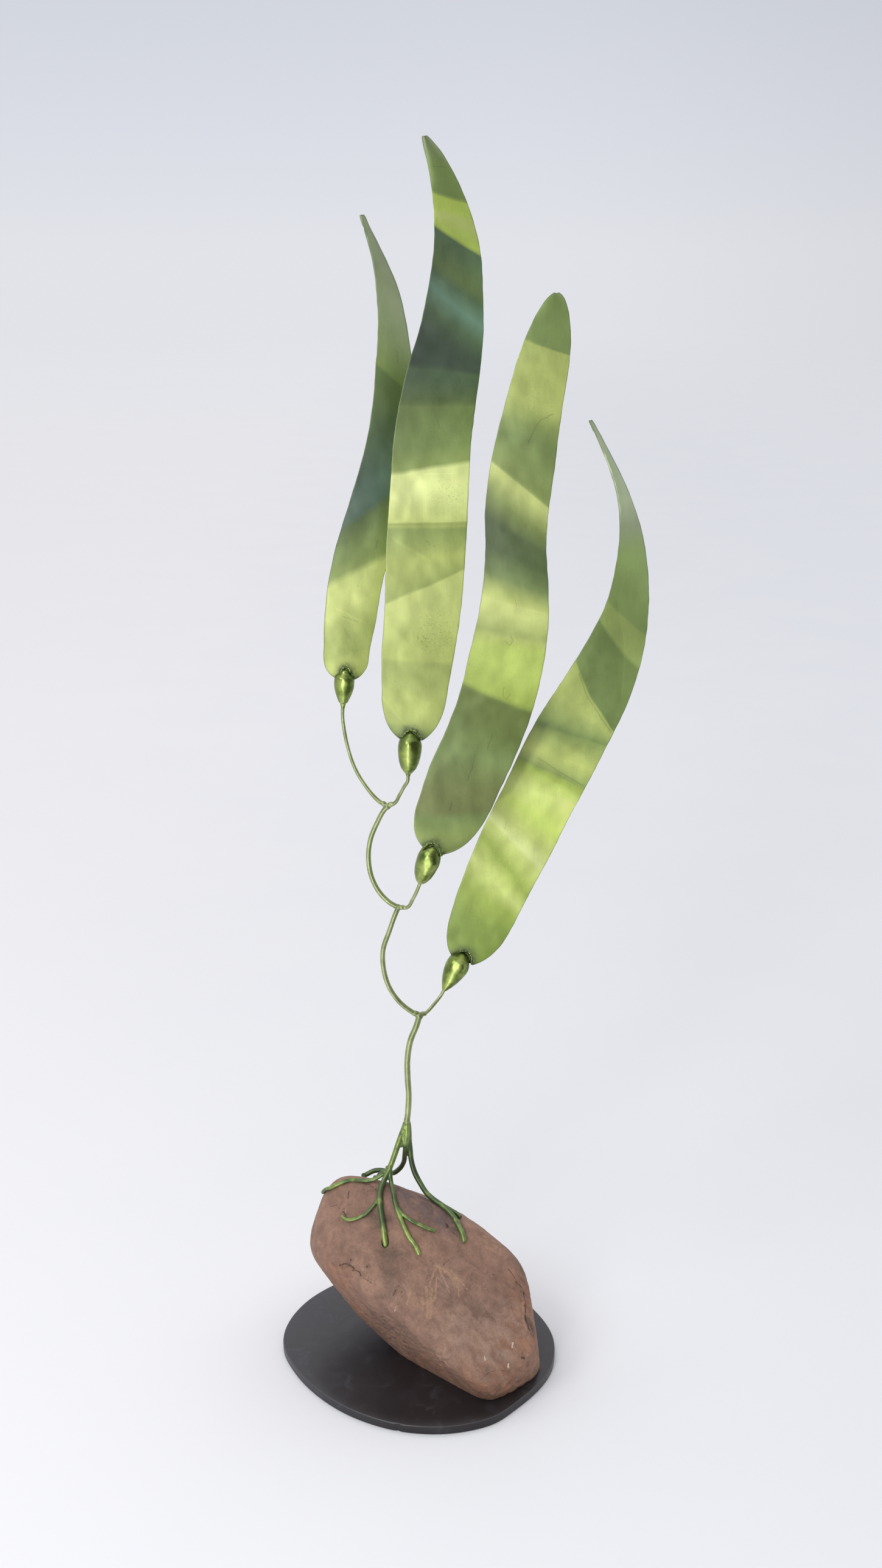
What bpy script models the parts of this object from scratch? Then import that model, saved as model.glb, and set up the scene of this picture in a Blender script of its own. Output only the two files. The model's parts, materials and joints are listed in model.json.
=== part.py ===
# Kelp sculpture: four painted sheet-steel blades on forged floats, a forked rod stipe
# and a holdfast of rod roots gripping a stone, pinned to a blackened steel plate.
# Metres, +Z up. The origin is the middle of the plate's underside, and -Y is the front.
import math

import bmesh
import bpy
import numpy as np
from mathutils import Vector
from mathutils.bvhtree import BVHTree

MM = 0.001

# Driving dimensions, in millimetres
GAP = 0.3
PLATE_THICKNESS = 9.0
PLATE_RIM_BEVEL = 0.9
STIPE_RADIUS = 3.1
UPPER_STIPE_RADIUS = 2.5
BRANCH_RADIUS = 1.75
BLADE_THICKNESS = 1.5
PIN_RADIUS = 5.0
PIN_LOW = 0.6
PIN_DEPTH_IN_STONE = 34.0
PIN_CLEARANCE = 0.4
PIN_PLACE = (46.0, -28.0)
PIN_SIDES = 20
PIN_HOLE_SIDES = 24
KNUCKLE_SWELL = 0.9
KNUCKLE_SIDES = 14
CUT_PAST = 2.0

# The plate's rim, drawn by hand and hammered a little out of round: (degrees, radius)
PLATE_POINTS = 72
PLATE_RIM = [
    (0, 139), (26, 132), (60, 137), (95, 140), (134, 139), (155, 143), (183, 144), (199, 137),
    (214, 133), (246, 134), (266, 139), (288, 144), (300, 145), (312, 141), (345, 141),
]

# The stone's faces: (name, azimuth, elevation, distance from the stone's middle)
STONE_MIDDLE = (12.0, -12.0, 85.0)
STONE_ROUNDING = 150.0
STONE_SIDES = 52
STONE_FACES = [
    ("low left", 207, -26, 84.5),
    ("front band", 229, -27, 65.5),
    ("low end", 311, -20, 128.5),
    ("right end", 2, 8, 98.5),
    ("right shoulder", 31, 34, 81.0),
    ("right crown", 42, 53, 75.0),
    ("crown", 75, 53, 94.5),
    ("left shoulder", 153, 39, 151.0),
    ("left end", 177, 14, 134.0),
    ("front left", 236, 41, 76.0),
    ("front right", 287, 41, 51.5),
    ("back left", 111, 14, 121.5),
    ("back right", 56, -3, 92.5),
    ("under left", 149, -54, 86.0),
    ("under back", 82, -41, 92.5),
]
# Hollows worn in the stone's front: (place, depth, width)
STONE_HOLLOWS = [
    ((-37, -18, 160), 3.5, 11.0),
    ((-35, -36, 143), 5.0, 12.0),
    ((-31, -52, 122), 3.5, 15.0),
    ((-26, -64, 100), 2.5, 17.0),
]

# Rod routes through points in the air, from bottom to top
MAIN_ROUTE = [
    (-14, 30, 246), (-13, 30, 256), (-12, 30, 276), (-13, 29, 297), (-13, 28, 318),
    (-10, 28, 338), (-3, 29, 357), (-1, 29, 364),
]
LOWER_FORK = (-1, 29, 365)
STIPE_2_ROUTE = [
    (-1, 29, 365), (-9, 29, 370), (-19, 28, 379), (-31, 25, 399), (-36, 22, 420),
    (-36, 20, 441), (-30, 19, 460), (-25, 19, 475), (-21, 20, 484),
]
MIDDLE_FORK = (-21, 20, 485)
STIPE_3_ROUTE = [
    (-21, 20, 485), (-29, 22, 489), (-38, 25, 497), (-47, 30, 513), (-50, 34, 531),
    (-48, 36, 549), (-41, 36, 567), (-32, 34, 583),
]
UPPER_FORK = (-31, 34, 584)

# Floats: neck and nub ends of the axis, widest radius, and the branch from a fork up to the neck
FLOATS = {
    "1": {"neck": (-74, 60, 675), "nub": (-71, 58, 714), "radius": 9.7,
          "branch": [UPPER_FORK, (-37, 36, 587), (-53, 43, 603), (-63, 49, 619),
                     (-69, 54, 636), (-73, 58, 655)]},
    "2": {"neck": (-10.5, 16, 620), "nub": (-7.5, 10, 665), "radius": 11.3,
          "branch": [UPPER_FORK, (-24, 32, 588), (-19, 26, 598), (-14, 20, 609)]},
    "3": {"neck": (0.5, 4, 516), "nub": (13.5, -10, 558), "radius": 11.2,
          "branch": [MIDDLE_FORK, (-12.5, 16, 488), (-6.5, 11, 498)]},
    "4": {"neck": (23.5, 44, 386), "nub": (44, 50, 424), "radius": 11.6,
          "branch": [LOWER_FORK, (6, 33, 367), (14, 38, 374)]},
}
# A float's outline from nub to neck: (share of length, share of widest radius)
FLOAT_OUTLINE = [
    (0.00, 0.00), (0.00, 0.22), (0.03, 0.33), (0.09, 0.36), (0.14, 0.52), (0.19, 0.78),
    (0.25, 0.92), (0.36, 1.00), (0.50, 0.97), (0.65, 0.84), (0.78, 0.64), (0.88, 0.40),
    (0.95, 0.24), (1.00, 0.20), (1.00, 0.00),
]

# Blades: (height, middle, half width) up the blade, then the depth and the twist by height.
# The ends are rounded over base_round and tip_round.
BLADES = {
    "1": {"base_round": 22, "tip_round": 3,
          "outline": [(703, -70, 23), (724, -70, 22), (759, -66, 25), (794, -61, 26),
                      (829, -52, 27), (864, -42, 26), (898, -33, 24), (932, -26, 21.5),
                      (966, -23, 18.5), (998, -22, 16.5), (1030, -23, 13), (1061, -27, 10),
                      (1093, -36, 5.5), (1115, -45, 3.4), (1128, -50, 2.3)],
          "depth": [(703, 58), (780, 72), (880, 68), (970, 56), (1060, 58), (1128, 66)],
          "twist": [(703, 0), (900, 6), (1000, 14), (1060, 17), (1093, 15), (1115, 8), (1128, 3)]},
    "2": {"base_round": 45, "tip_round": 18,
          "outline": [(655, -7, 31), (700, -4, 31), (734, -1, 34), (768, 3, 35.5),
                      (835, 7, 37), (902, 11, 36), (933, 13, 35.5), (968, 18, 34.5),
                      (1000, 24, 32.5), (1031, 30, 28.5), (1062, 33, 24.5), (1093, 34.5, 21),
                      (1122, 31.5, 17), (1152, 24, 12.5), (1175, 15, 8.3), (1192, 6, 5)],
          "depth": [(655, 10), (760, 26), (880, 34), (1000, 20), (1100, 12), (1192, 22)],
          "twist": [(655, -4), (900, 4), (1100, 8), (1192, 3)]},
    "3": {"base_round": 50, "tip_round": 60,
          "outline": [(550, 21, 37), (581, 28.5, 36.5), (598, 34.5, 36.5), (633, 48, 38.5),
                      (670, 63, 37.5), (706, 74, 36), (741, 81, 35), (776, 86, 32.5),
                      (810, 88, 29.5), (842, 88, 27.5), (874, 88.5, 28.5), (907, 92, 29),
                      (939, 96.5, 27.5), (971, 102.5, 25.5), (1002, 109, 23.5),
                      (1032, 115, 21), (1062, 120.5, 19.5)],
          "depth": [(550, -9), (640, 2), (730, -6), (800, -16), (880, -8), (960, -14), (1062, -5)],
          "twist": [(550, 4), (800, -6), (1062, 6)]},
    "4": {"base_round": 48, "tip_round": 3,
          "outline": [(412, 48, 34.5), (445, 58, 33), (482, 72, 36), (520, 88.5, 39),
                      (560, 105.5, 40), (598, 123, 40.5), (637, 140, 41), (674, 157, 40),
                      (711, 173.5, 35), (747, 187, 28), (782, 196, 21), (816, 199, 16),
                      (850, 197, 11), (883, 189, 6.5), (922, 171.5, 3.6), (949, 157, 2.3)],
          "depth": [(412, 50), (520, 62), (640, 54), (740, 44), (840, 52), (949, 60)],
          "twist": [(412, -4), (700, 6), (782, 16), (816, 24), (850, 28), (883, 25),
                    (922, 13), (949, 4)]},
}
BLADE_ROW_STEP = 14.0
BLADE_END_STEP = 8.0
BLADE_COLUMNS = 5
BLADE_BASE_FLAT = 5.0
BLADE_TIP_FLAT = 2.0
BLADE_CAMBER = 2.0

# The holdfast's rods: three start under the stipe, and the others leave a rod at a height.
# Each runs through points in the air, then points laid on the stone, and one ends in it.
ROOTS = {
    "loop": {"radius": 2.5, "start": (-14, 27.9, 245.1),
             "air": [(-14, 27, 237), (-15.5, 28, 222), (-16.5, 33, 208), (-18, 42, 193),
                     (-23, 49, 181), (-30, 53, 174), (-38, 56, 175), (-49, 58, 174),
                     (-56, 57, 171)],
             "laid": [(-60.5, 54, 166), (-62, 48, 166)]},
    "centre": {"radius": 2.8, "start": (-15.8, 31, 245.1),
               "air": [(-18, 30.5, 237), (-23, 26.5, 223), (-27, 22, 212), (-31, 18, 202),
                       (-36, 13, 192)],
               "laid": [(-40, 6, 180), (-40, -6, 170), (-38, -19, 158), (-36, -28, 150)],
               "sunk": [(-35, -29, 140), (-34, -25, 130)]},
    "right": {"radius": 2.7, "start": (-12.2, 31, 245.1),
              "air": [(-12, 33, 237), (-12, 34, 225), (-11, 33.5, 212), (-9.5, 32, 199),
                      (-6, 28.5, 188), (0, 23, 178.5), (5.5, 17.5, 172)],
              "laid": [(14, 9, 166), (24, 2, 161), (32, -5, 156), (38, -12, 151),
                       (42, -18, 145), (44, -24, 139)]},
    "front": {"radius": 2.2, "from": "centre", "at": 202,
              "air": [(-31, 14, 194), (-30, 10, 187)],
              "laid": [(-28, 3, 178), (-24, -10, 170), (-18, -21, 159), (-12, -30, 150),
                       (-5, -36, 142), (-1, -41, 136)]},
    "left": {"radius": 2.0, "from": "centre", "at": 201,
             "air": [(-38, 18, 194), (-46, 18, 188)],
             "laid": [(-56, 21, 181), (-66, 25, 180), (-75, 28, 178), (-83, 29, 174),
                      (-90, 31, 169), (-97, 36, 163), (-102, 42, 157)]},
    "stub": {"radius": 2.0, "from": "centre", "at": 203,
             "air": [(-37, 24, 193), (-43, 28, 187)],
             "laid": [(-46, 31, 180), (-49, 33, 178)]},
    "curl": {"radius": 1.8, "from": "centre", "at": 178,
             "air": [],
             "laid": [(-48, -4, 168), (-56, -7, 161), (-66, -7, 156), (-75, -4, 153),
                      (-80, 1, 154)]},
    "twig": {"radius": 1.8, "from": "front", "at": 173,
             "air": [],
             "laid": [(-17, -15, 165), (-11, -18, 161), (-3, -20, 158), (7, -22, 154),
                      (15, -22, 151)]},
    "back": {"radius": 2.0, "from": "right", "at": 168,
             "air": [],
             "laid": [(24, 8, 161), (30, 5.5, 158.5), (36, 2, 155), (39.5, -2.5, 151.5)]},
}
ROOT_STEP = 5.0
ROOT_START_SHARE = 0.6
ROOT_TIP_SHARE = 0.8
ROOT_CUT_PAST_TIP = 1.2
DRAWN_POINTS = 3
STONE_CLEARANCE = 0.45
STIPE_STEP = 6.0
BRANCH_STEP = 5.0
FLOAT_SIDES = 16


def clear_scene():
    for old in list(bpy.data.objects):
        bpy.data.objects.remove(old, do_unlink=True)


def new_collection(name):
    made = bpy.data.collections.new(name)
    bpy.context.scene.collection.children.link(made)
    return made


def make_material(name, colour, roughness, metallic):
    made = bpy.data.materials.new(name)
    made.use_nodes = True
    shader = made.node_tree.nodes["Principled BSDF"]
    shader.inputs["Base Color"].default_value = (*colour, 1.0)
    shader.inputs["Roughness"].default_value = roughness
    shader.inputs["Metallic"].default_value = metallic
    return made


def add_object(name, mesh, group, material=None):
    made = bpy.data.objects.new(name, mesh)
    group.objects.link(made)
    if material:
        mesh.materials.append(material)
    return made


def shade_round(thing, angle=40):
    thing.data.shade_smooth()
    thing.data.set_sharp_from_angle(angle=math.radians(angle))


def as_cutter(thing):
    thing.hide_render = True
    thing.display_type = "WIRE"
    return thing


def smooth_values(stations, at):
    # A smooth curve through the stations, read at one place; the first column is the place
    table = np.array(stations, float)
    place = table[:, 0]
    slope = np.gradient(table[:, 1:], place, axis=0)
    k = int(np.clip(np.searchsorted(place, at) - 1, 0, len(place) - 2))
    span = place[k + 1] - place[k]
    t = (at - place[k]) / span
    start, end = table[k, 1:], table[k + 1, 1:]
    lead, trail = slope[k] * span, slope[k + 1] * span
    return ((2 * t**3 - 3 * t**2 + 1) * start + (t**3 - 2 * t**2 + t) * lead
            + (3 * t**2 - 2 * t**3) * end + (t**3 - t**2) * trail)


def smooth_route(points, step):
    # Points about one step apart on a smooth curve through the given points
    points = [Vector(p) for p in points]
    along = [0.0]
    for a, b in zip(points, points[1:]):
        along.append(along[-1] + (b - a).length)
    stations = [(s, *p) for s, p in zip(along, points)]
    count = max(2, round(along[-1] / step))
    return [Vector(smooth_values(stations, along[-1] * i / count)) for i in range(count + 1)]


def make_tube(name, route, radius, group, material=None, start_share=1.0, tip_share=1.0,
              sides=2):
    # A round rod along a route in millimetres, its ends drawn down to a share of the radius
    curve = bpy.data.curves.new(name, "CURVE")
    curve.dimensions = "3D"
    curve.bevel_depth = radius * MM
    curve.bevel_resolution = sides
    curve.use_fill_caps = True
    spline = curve.splines.new("POLY")
    spline.points.add(len(route) - 1)
    for i, (place, point) in enumerate(zip(route, spline.points)):
        point.co = (*(Vector(place) * MM), 1.0)
        near_start = max(0.0, 1 - i / DRAWN_POINTS)
        near_tip = max(0.0, 1 - (len(route) - 1 - i) / DRAWN_POINTS)
        point.radius = 1.0 - (1 - start_share) * near_start - (1 - tip_share) * near_tip
    wire = bpy.data.objects.new(name + "_curve", curve)
    group.objects.link(wire)
    graph = bpy.context.evaluated_depsgraph_get()
    mesh = bpy.data.meshes.new_from_object(wire.evaluated_get(graph))
    mesh.materials.clear()
    made = add_object(name, mesh, group, material)
    made.matrix_world = wire.matrix_world
    bpy.data.objects.remove(wire, do_unlink=True)
    shape = bmesh.new()
    shape.from_mesh(mesh)
    bmesh.ops.remove_doubles(shape, verts=shape.verts, dist=0.00001)
    bmesh.ops.recalc_face_normals(shape, faces=shape.faces)
    shape.to_mesh(mesh)
    shape.free()
    shade_round(made)
    return made


def make_ball(name, place, radius, group):
    mesh = bpy.data.meshes.new(name)
    shape = bmesh.new()
    bmesh.ops.create_uvsphere(shape, u_segments=KNUCKLE_SIDES, v_segments=8, radius=radius * MM)
    bmesh.ops.translate(shape, verts=shape.verts, vec=Vector(place) * MM)
    shape.to_mesh(mesh)
    shape.free()
    return add_object(name, mesh, group)


def make_cylinder(name, radius, low, high, segments, group, material=None):
    # An upright cylinder on the anchor pin's axis
    mesh = bpy.data.meshes.new(name)
    shape = bmesh.new()
    bmesh.ops.create_cone(shape, cap_ends=True, segments=segments, radius1=radius * MM,
                          radius2=radius * MM, depth=(high - low) * MM)
    bmesh.ops.translate(shape, verts=shape.verts,
                        vec=Vector((*PIN_PLACE, (low + high) / 2)) * MM)
    shape.to_mesh(mesh)
    shape.free()
    return add_object(name, mesh, group, material)


def boolean(target, other, operation="DIFFERENCE"):
    step = target.modifiers.new(operation.lower() + "_" + other.name, "BOOLEAN")
    step.operation = operation
    step.object = other
    step.solver = "EXACT"


def make_plate(group, cutters, material):
    # The flat outline is a 2D curve, given its thickness by an extrude
    before = [(angle - 360, radius) for angle, radius in PLATE_RIM[-1:]]
    after = [(angle + 360, radius) for angle, radius in PLATE_RIM[:2]]
    around = before + PLATE_RIM + after
    curve = bpy.data.curves.new("base_plate", "CURVE")
    curve.dimensions = "2D"
    curve.fill_mode = "BOTH"
    curve.extrude = PLATE_THICKNESS / 2 * MM
    spline = curve.splines.new("POLY")
    spline.points.add(PLATE_POINTS - 1)
    spline.use_cyclic_u = True
    for i, point in enumerate(spline.points):
        angle = 360 * i / PLATE_POINTS
        radius = float(smooth_values(around, angle)[0])
        turn = math.radians(angle)
        point.co = (radius * math.cos(turn) * MM, radius * math.sin(turn) * MM, 0, 1)
    flat = bpy.data.objects.new("base_plate_curve", curve)
    group.objects.link(flat)
    graph = bpy.context.evaluated_depsgraph_get()
    mesh = bpy.data.meshes.new_from_object(flat.evaluated_get(graph))
    bpy.data.objects.remove(flat, do_unlink=True)
    shape = bmesh.new()
    shape.from_mesh(mesh)
    bmesh.ops.remove_doubles(shape, verts=shape.verts, dist=0.00001)
    bmesh.ops.dissolve_limit(shape, angle_limit=0.01, verts=shape.verts, edges=shape.edges)
    bmesh.ops.recalc_face_normals(shape, faces=shape.faces)
    bmesh.ops.translate(shape, verts=shape.verts, vec=(0, 0, PLATE_THICKNESS / 2 * MM))
    shape.to_mesh(mesh)
    shape.free()
    mesh.materials.clear()
    plate = add_object("base_plate", mesh, group, material)
    edge = plate.modifiers.new("rim", "BEVEL")
    edge.width = PLATE_RIM_BEVEL * MM
    edge.segments = 1
    edge.limit_method = "ANGLE"
    edge.angle_limit = math.radians(50)
    hole = make_cylinder("plate_hole", PIN_RADIUS + PIN_CLEARANCE, -CUT_PAST,
                         PLATE_THICKNESS + CUT_PAST, PIN_HOLE_SIDES, cutters)
    boolean(plate, as_cutter(hole))


def stone_radius(direction):
    # How far the rounded faces lie from the stone's middle in one direction
    near, far = 5.0, 400.0
    normals, reaches = STONE_NORMALS
    along = normals @ np.array(direction)
    for _ in range(30):
        middle = (near + far) / 2
        past = (along * middle - reaches) * MM * STONE_ROUNDING
        top = past.max()
        level = top + math.log(np.exp(past - top).sum())
        near, far = (near, middle) if level > 0 else (middle, far)
    return near


def face_normals():
    normals, reaches = [], []
    for name, azimuth, elevation, reach in STONE_FACES:
        a, e = math.radians(azimuth), math.radians(elevation)
        normals.append((math.cos(e) * math.cos(a), math.cos(e) * math.sin(a), math.sin(e)))
        reaches.append(reach)
    return np.array(normals), np.array(reaches)


STONE_NORMALS = face_normals()


def make_stone(group, material):
    # A ball pushed out to the rounded faces, worn by the hollows and cut flat underneath
    middle = Vector(STONE_MIDDLE)
    mesh = bpy.data.meshes.new("stone")
    shape = bmesh.new()
    bmesh.ops.create_uvsphere(shape, u_segments=STONE_SIDES, v_segments=STONE_SIDES // 2,
                              radius=1.0)
    for vertex in shape.verts:
        direction = vertex.co.normalized()
        place = middle + direction * stone_radius(direction)
        for hollow, depth, width in STONE_HOLLOWS:
            away = (place - Vector(hollow)).length / width
            place -= direction * depth * math.exp(-away * away)
        vertex.co = place * MM
    bmesh.ops.triangulate(shape, faces=shape.faces)
    floor = (PLATE_THICKNESS + GAP) * MM
    everything = shape.verts[:] + shape.edges[:] + shape.faces[:]
    bmesh.ops.bisect_plane(shape, geom=everything, dist=0.000001, plane_co=(0, 0, floor),
                           plane_no=(0, 0, 1), clear_inner=True)
    open_edges = [edge for edge in shape.edges if edge.is_boundary]
    bmesh.ops.holes_fill(shape, edges=open_edges)
    bmesh.ops.recalc_face_normals(shape, faces=shape.faces)
    shape.to_mesh(mesh)
    shape.free()
    stone = add_object("stone", mesh, group, material)
    shade_round(stone, 30)
    return stone


def make_pin(group, cutters, stone, material):
    # A steel pin through the plate, set in a blind hole in the stone
    top = PLATE_THICKNESS + PIN_DEPTH_IN_STONE
    pin = make_cylinder("anchor_pin", PIN_RADIUS, PIN_LOW, top, PIN_SIDES, group, material)
    blind = make_cylinder("stone_hole", PIN_RADIUS + PIN_CLEARANCE, 0, top + CUT_PAST,
                          PIN_HOLE_SIDES, cutters)
    boolean(stone, as_cutter(blind))
    shade_round(pin)


def make_stipes(group, cutters, material):
    # Each rod ends in a welded knuckle, which the next rods butt against
    rods = [
        ("main_stipe", MAIN_ROUTE, STIPE_RADIUS, LOWER_FORK, 3),
        ("stipe_2", STIPE_2_ROUTE, UPPER_STIPE_RADIUS, MIDDLE_FORK, 2),
        ("stipe_3", STIPE_3_ROUTE, UPPER_STIPE_RADIUS, UPPER_FORK, 2),
    ]
    knuckles = {}
    below = None
    for name, route, radius, fork, sides in rods:
        rod = make_tube(name, smooth_route(route, STIPE_STEP), radius, group, material,
                        sides=sides)
        knuckle_radius = radius + KNUCKLE_SWELL
        knuckle = make_ball(name + "_knuckle", fork, knuckle_radius, cutters)
        boolean(rod, as_cutter(knuckle), "UNION")
        if below:
            boolean(rod, below)
        below = as_cutter(make_ball(name + "_knuckle_cut", fork, knuckle_radius + GAP, cutters))
        knuckles[tuple(fork)] = below
    return knuckles


def make_float(number, spec, group, material, grow=0.0):
    # A turned bulb on its own axis; grow makes a larger one, to cut its blade clear
    axis = Vector(spec["nub"]) - Vector(spec["neck"])
    outline = []
    for along, share in FLOAT_OUTLINE:
        past_end = {0: grow, 1: -grow}.get(along, 0)
        radius = share * spec["radius"] + (grow if share else 0)
        outline.append((radius, axis.length * (1 - along) + past_end))
    mesh = bpy.data.meshes.new("float_" + number)
    shape = bmesh.new()
    corners = [shape.verts.new((r * MM, 0, h * MM)) for r, h in outline]
    for a, b in zip(corners, corners[1:]):
        shape.edges.new((a, b))
    shape.to_mesh(mesh)
    shape.free()
    made = add_object("float_" + number, mesh, group, material)
    made.location = Vector(spec["neck"]) * MM
    made.rotation_mode = "QUATERNION"
    made.rotation_quaternion = axis.to_track_quat("Z", "Y")
    lathe = made.modifiers.new("lathe", "SCREW")
    lathe.angle = math.radians(360)
    lathe.screw_offset = 0
    lathe.steps = FLOAT_SIDES
    lathe.render_steps = FLOAT_SIDES
    lathe.use_merge_vertices = True
    lathe.merge_threshold = 0.00001
    lathe.use_smooth_shade = True
    return made


def make_branch(number, spec, knuckles, group, material):
    neck, nub = Vector(spec["neck"]), Vector(spec["nub"])
    up = (nub - neck).normalized()
    route = [Vector(p) for p in spec["branch"]] + [neck - up * 5, neck - up * GAP]
    branch = make_tube("branch_" + number, smooth_route(route, BRANCH_STEP), BRANCH_RADIUS,
                       group, material)
    boolean(branch, knuckles[tuple(spec["branch"][0])])


def blade_heights(spec):
    # Heights of the blade's rows, close together where its two ends are rounded
    low, high = spec["outline"][0][0], spec["outline"][-1][0]

    def end_rises(half, rounding, flat):
        count = max(1, round(rounding / BLADE_END_STEP))
        first = math.asin(min(0.7, flat / half))
        angles = [first + (math.pi / 2 - first) * i / count for i in range(count + 1)]
        return [rounding * (1 - math.cos(angle)) for angle in angles]

    base = [low + rise for rise in
            end_rises(spec["outline"][0][2], spec["base_round"], BLADE_BASE_FLAT)]
    tip = [high - rise for rise in
           end_rises(spec["outline"][-1][2], spec["tip_round"], BLADE_TIP_FLAT)]
    count = round((tip[-1] - base[-1]) / BLADE_ROW_STEP)
    between = [base[-1] + (tip[-1] - base[-1]) * i / count for i in range(1, count)]
    return base + between + tip[::-1]


def blade_point(spec, height, across):
    # A point of the blade's middle sheet; across runs from -1 at the left edge to 1
    low, high = spec["outline"][0][0], spec["outline"][-1][0]
    middle, half = smooth_values(spec["outline"], height)
    into_base = max(0.0, 1 - (height - low) / spec["base_round"])
    into_tip = max(0.0, 1 - (high - height) / spec["tip_round"])
    half *= math.sqrt((1 - into_base**2) * (1 - into_tip**2))
    depth = float(smooth_values(spec["depth"], height)[0])
    twist = float(smooth_values(spec["twist"], height)[0])
    depth += across * twist / 2 + BLADE_CAMBER * (across * across - 0.5)
    return Vector((middle + across * half, depth, height))


def make_blade(number, spec, group, material):
    mesh = bpy.data.meshes.new("blade_" + number)
    shape = bmesh.new()
    places = [2 * j / BLADE_COLUMNS - 1 for j in range(BLADE_COLUMNS + 1)]
    rows = [[shape.verts.new(blade_point(spec, height, across) * MM) for across in places]
            for height in blade_heights(spec)]
    for lower, upper in zip(rows, rows[1:]):
        for j in range(BLADE_COLUMNS):
            shape.faces.new((lower[j], lower[j + 1], upper[j + 1], upper[j]))
    bmesh.ops.triangulate(shape, faces=shape.faces)
    shape.to_mesh(mesh)
    shape.free()
    blade = add_object("blade_" + number, mesh, group, material)
    sheet = blade.modifiers.new("sheet", "SOLIDIFY")
    sheet.thickness = BLADE_THICKNESS * MM
    sheet.offset = 0
    shade_round(blade, 50)
    return blade


def lay_route(spec, start, stone_tree):
    # The route of one root, held clear of the stone except where it is sunk in
    reach = spec["radius"] + STONE_CLEARANCE

    def pushed_out(place, exactly):
        nearest, normal, _, _ = stone_tree.find_nearest(place)
        height = (place - nearest).dot(normal)
        return nearest + normal * reach if exactly or height < reach else place

    laid = [pushed_out(Vector(p), True) for p in spec["laid"]]
    route = smooth_route([start, *spec["air"], *laid], ROOT_STEP)
    for _ in range(2):
        route = [pushed_out(place, False) for place in route]
    sunk = [Vector(p) for p in spec.get("sunk", [])]
    if sunk:
        route = smooth_route(route[::2] + sunk, ROOT_STEP)
    return route


def stone_surface(stone):
    shape = bmesh.new()
    shape.from_mesh(stone.data)
    bmesh.ops.scale(shape, verts=shape.verts, vec=(1 / MM, 1 / MM, 1 / MM))
    tree = BVHTree.FromBMesh(shape)
    shape.free()
    return tree


def make_roots(stone, group, cutters, material):
    tree = stone_surface(stone)
    routes = {}
    cuts = {}
    for name, spec in ROOTS.items():
        parent = spec.get("from")
        if parent:
            start = min(routes[parent], key=lambda place: abs(place.z - spec["at"]))
        else:
            start = Vector(spec["start"])
        route = lay_route(spec, start, tree)
        root = make_tube("root_" + name, route, spec["radius"], group, material,
                         start_share=1.0 if parent else ROOT_START_SHARE,
                         tip_share=ROOT_TIP_SHARE)
        for cutter in cuts.get(parent, []):
            boolean(root, cutter)
        past_tip = route[-1] + (route[-1] - route[-2]).normalized() * ROOT_CUT_PAST_TIP
        grown = as_cutter(make_tube("root_" + name + "_cut", [*route, past_tip],
                                    spec["radius"] + GAP, cutters))
        routes[name] = route
        cuts[name] = [grown]
        if parent:
            cuts[parent].append(grown)
        if "sunk" in spec:
            boolean(stone, grown)


def build():
    clear_scene()
    group = new_collection("kelp_sculpture")
    cutters = new_collection("cutters")
    green = make_material("candy_green_paint", (0.33, 0.50, 0.10), 0.32, 0.9)
    black = make_material("blackened_steel", (0.045, 0.042, 0.048), 0.45, 0.6)
    rock = make_material("red_stone", (0.22, 0.115, 0.075), 0.85, 0.0)
    bare = make_material("bare_steel", (0.55, 0.56, 0.56), 0.4, 1.0)
    make_plate(group, cutters, black)
    stone = make_stone(group, rock)
    knuckles = make_stipes(group, cutters, green)
    make_roots(stone, group, cutters, green)
    make_pin(group, cutters, stone, bare)
    for number, spec in FLOATS.items():
        make_float(number, spec, group, green)
        make_branch(number, spec, knuckles, group, green)
        blade = make_blade(number, BLADES[number], group, green)
        clear = make_float(number, spec, cutters, None, grow=GAP)
        clear.name = "float_" + number + "_cut"
        boolean(blade, as_cutter(clear))


build()
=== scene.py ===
import json
import math
import random
import time

import bpy
import numpy as np
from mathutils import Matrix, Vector, noise
from mathutils.bvhtree import BVHTree
from mathutils.kdtree import KDTree

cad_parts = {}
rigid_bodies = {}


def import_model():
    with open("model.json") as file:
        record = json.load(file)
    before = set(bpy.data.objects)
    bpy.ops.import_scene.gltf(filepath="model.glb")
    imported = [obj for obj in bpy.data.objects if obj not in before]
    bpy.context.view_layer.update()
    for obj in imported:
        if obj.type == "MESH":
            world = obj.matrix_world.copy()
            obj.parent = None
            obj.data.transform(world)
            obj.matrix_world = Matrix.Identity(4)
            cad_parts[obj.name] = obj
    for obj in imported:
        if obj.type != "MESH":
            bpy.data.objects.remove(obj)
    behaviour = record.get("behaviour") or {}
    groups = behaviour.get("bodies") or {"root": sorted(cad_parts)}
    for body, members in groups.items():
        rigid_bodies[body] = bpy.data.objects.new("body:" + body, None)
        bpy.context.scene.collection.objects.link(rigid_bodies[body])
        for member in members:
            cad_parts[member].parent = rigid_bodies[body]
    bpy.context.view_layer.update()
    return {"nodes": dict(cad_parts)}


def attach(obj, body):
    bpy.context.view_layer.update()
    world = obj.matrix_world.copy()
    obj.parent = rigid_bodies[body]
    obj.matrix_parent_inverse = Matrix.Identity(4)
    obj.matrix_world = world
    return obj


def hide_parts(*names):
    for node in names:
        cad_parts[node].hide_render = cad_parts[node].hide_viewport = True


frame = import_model()
started = time.time()
mm = 0.001


def say(stage):
    print(f"kelp: {stage} ({time.time() - started:.0f} s)", flush=True)


# Small tools shared by every piece

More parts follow.
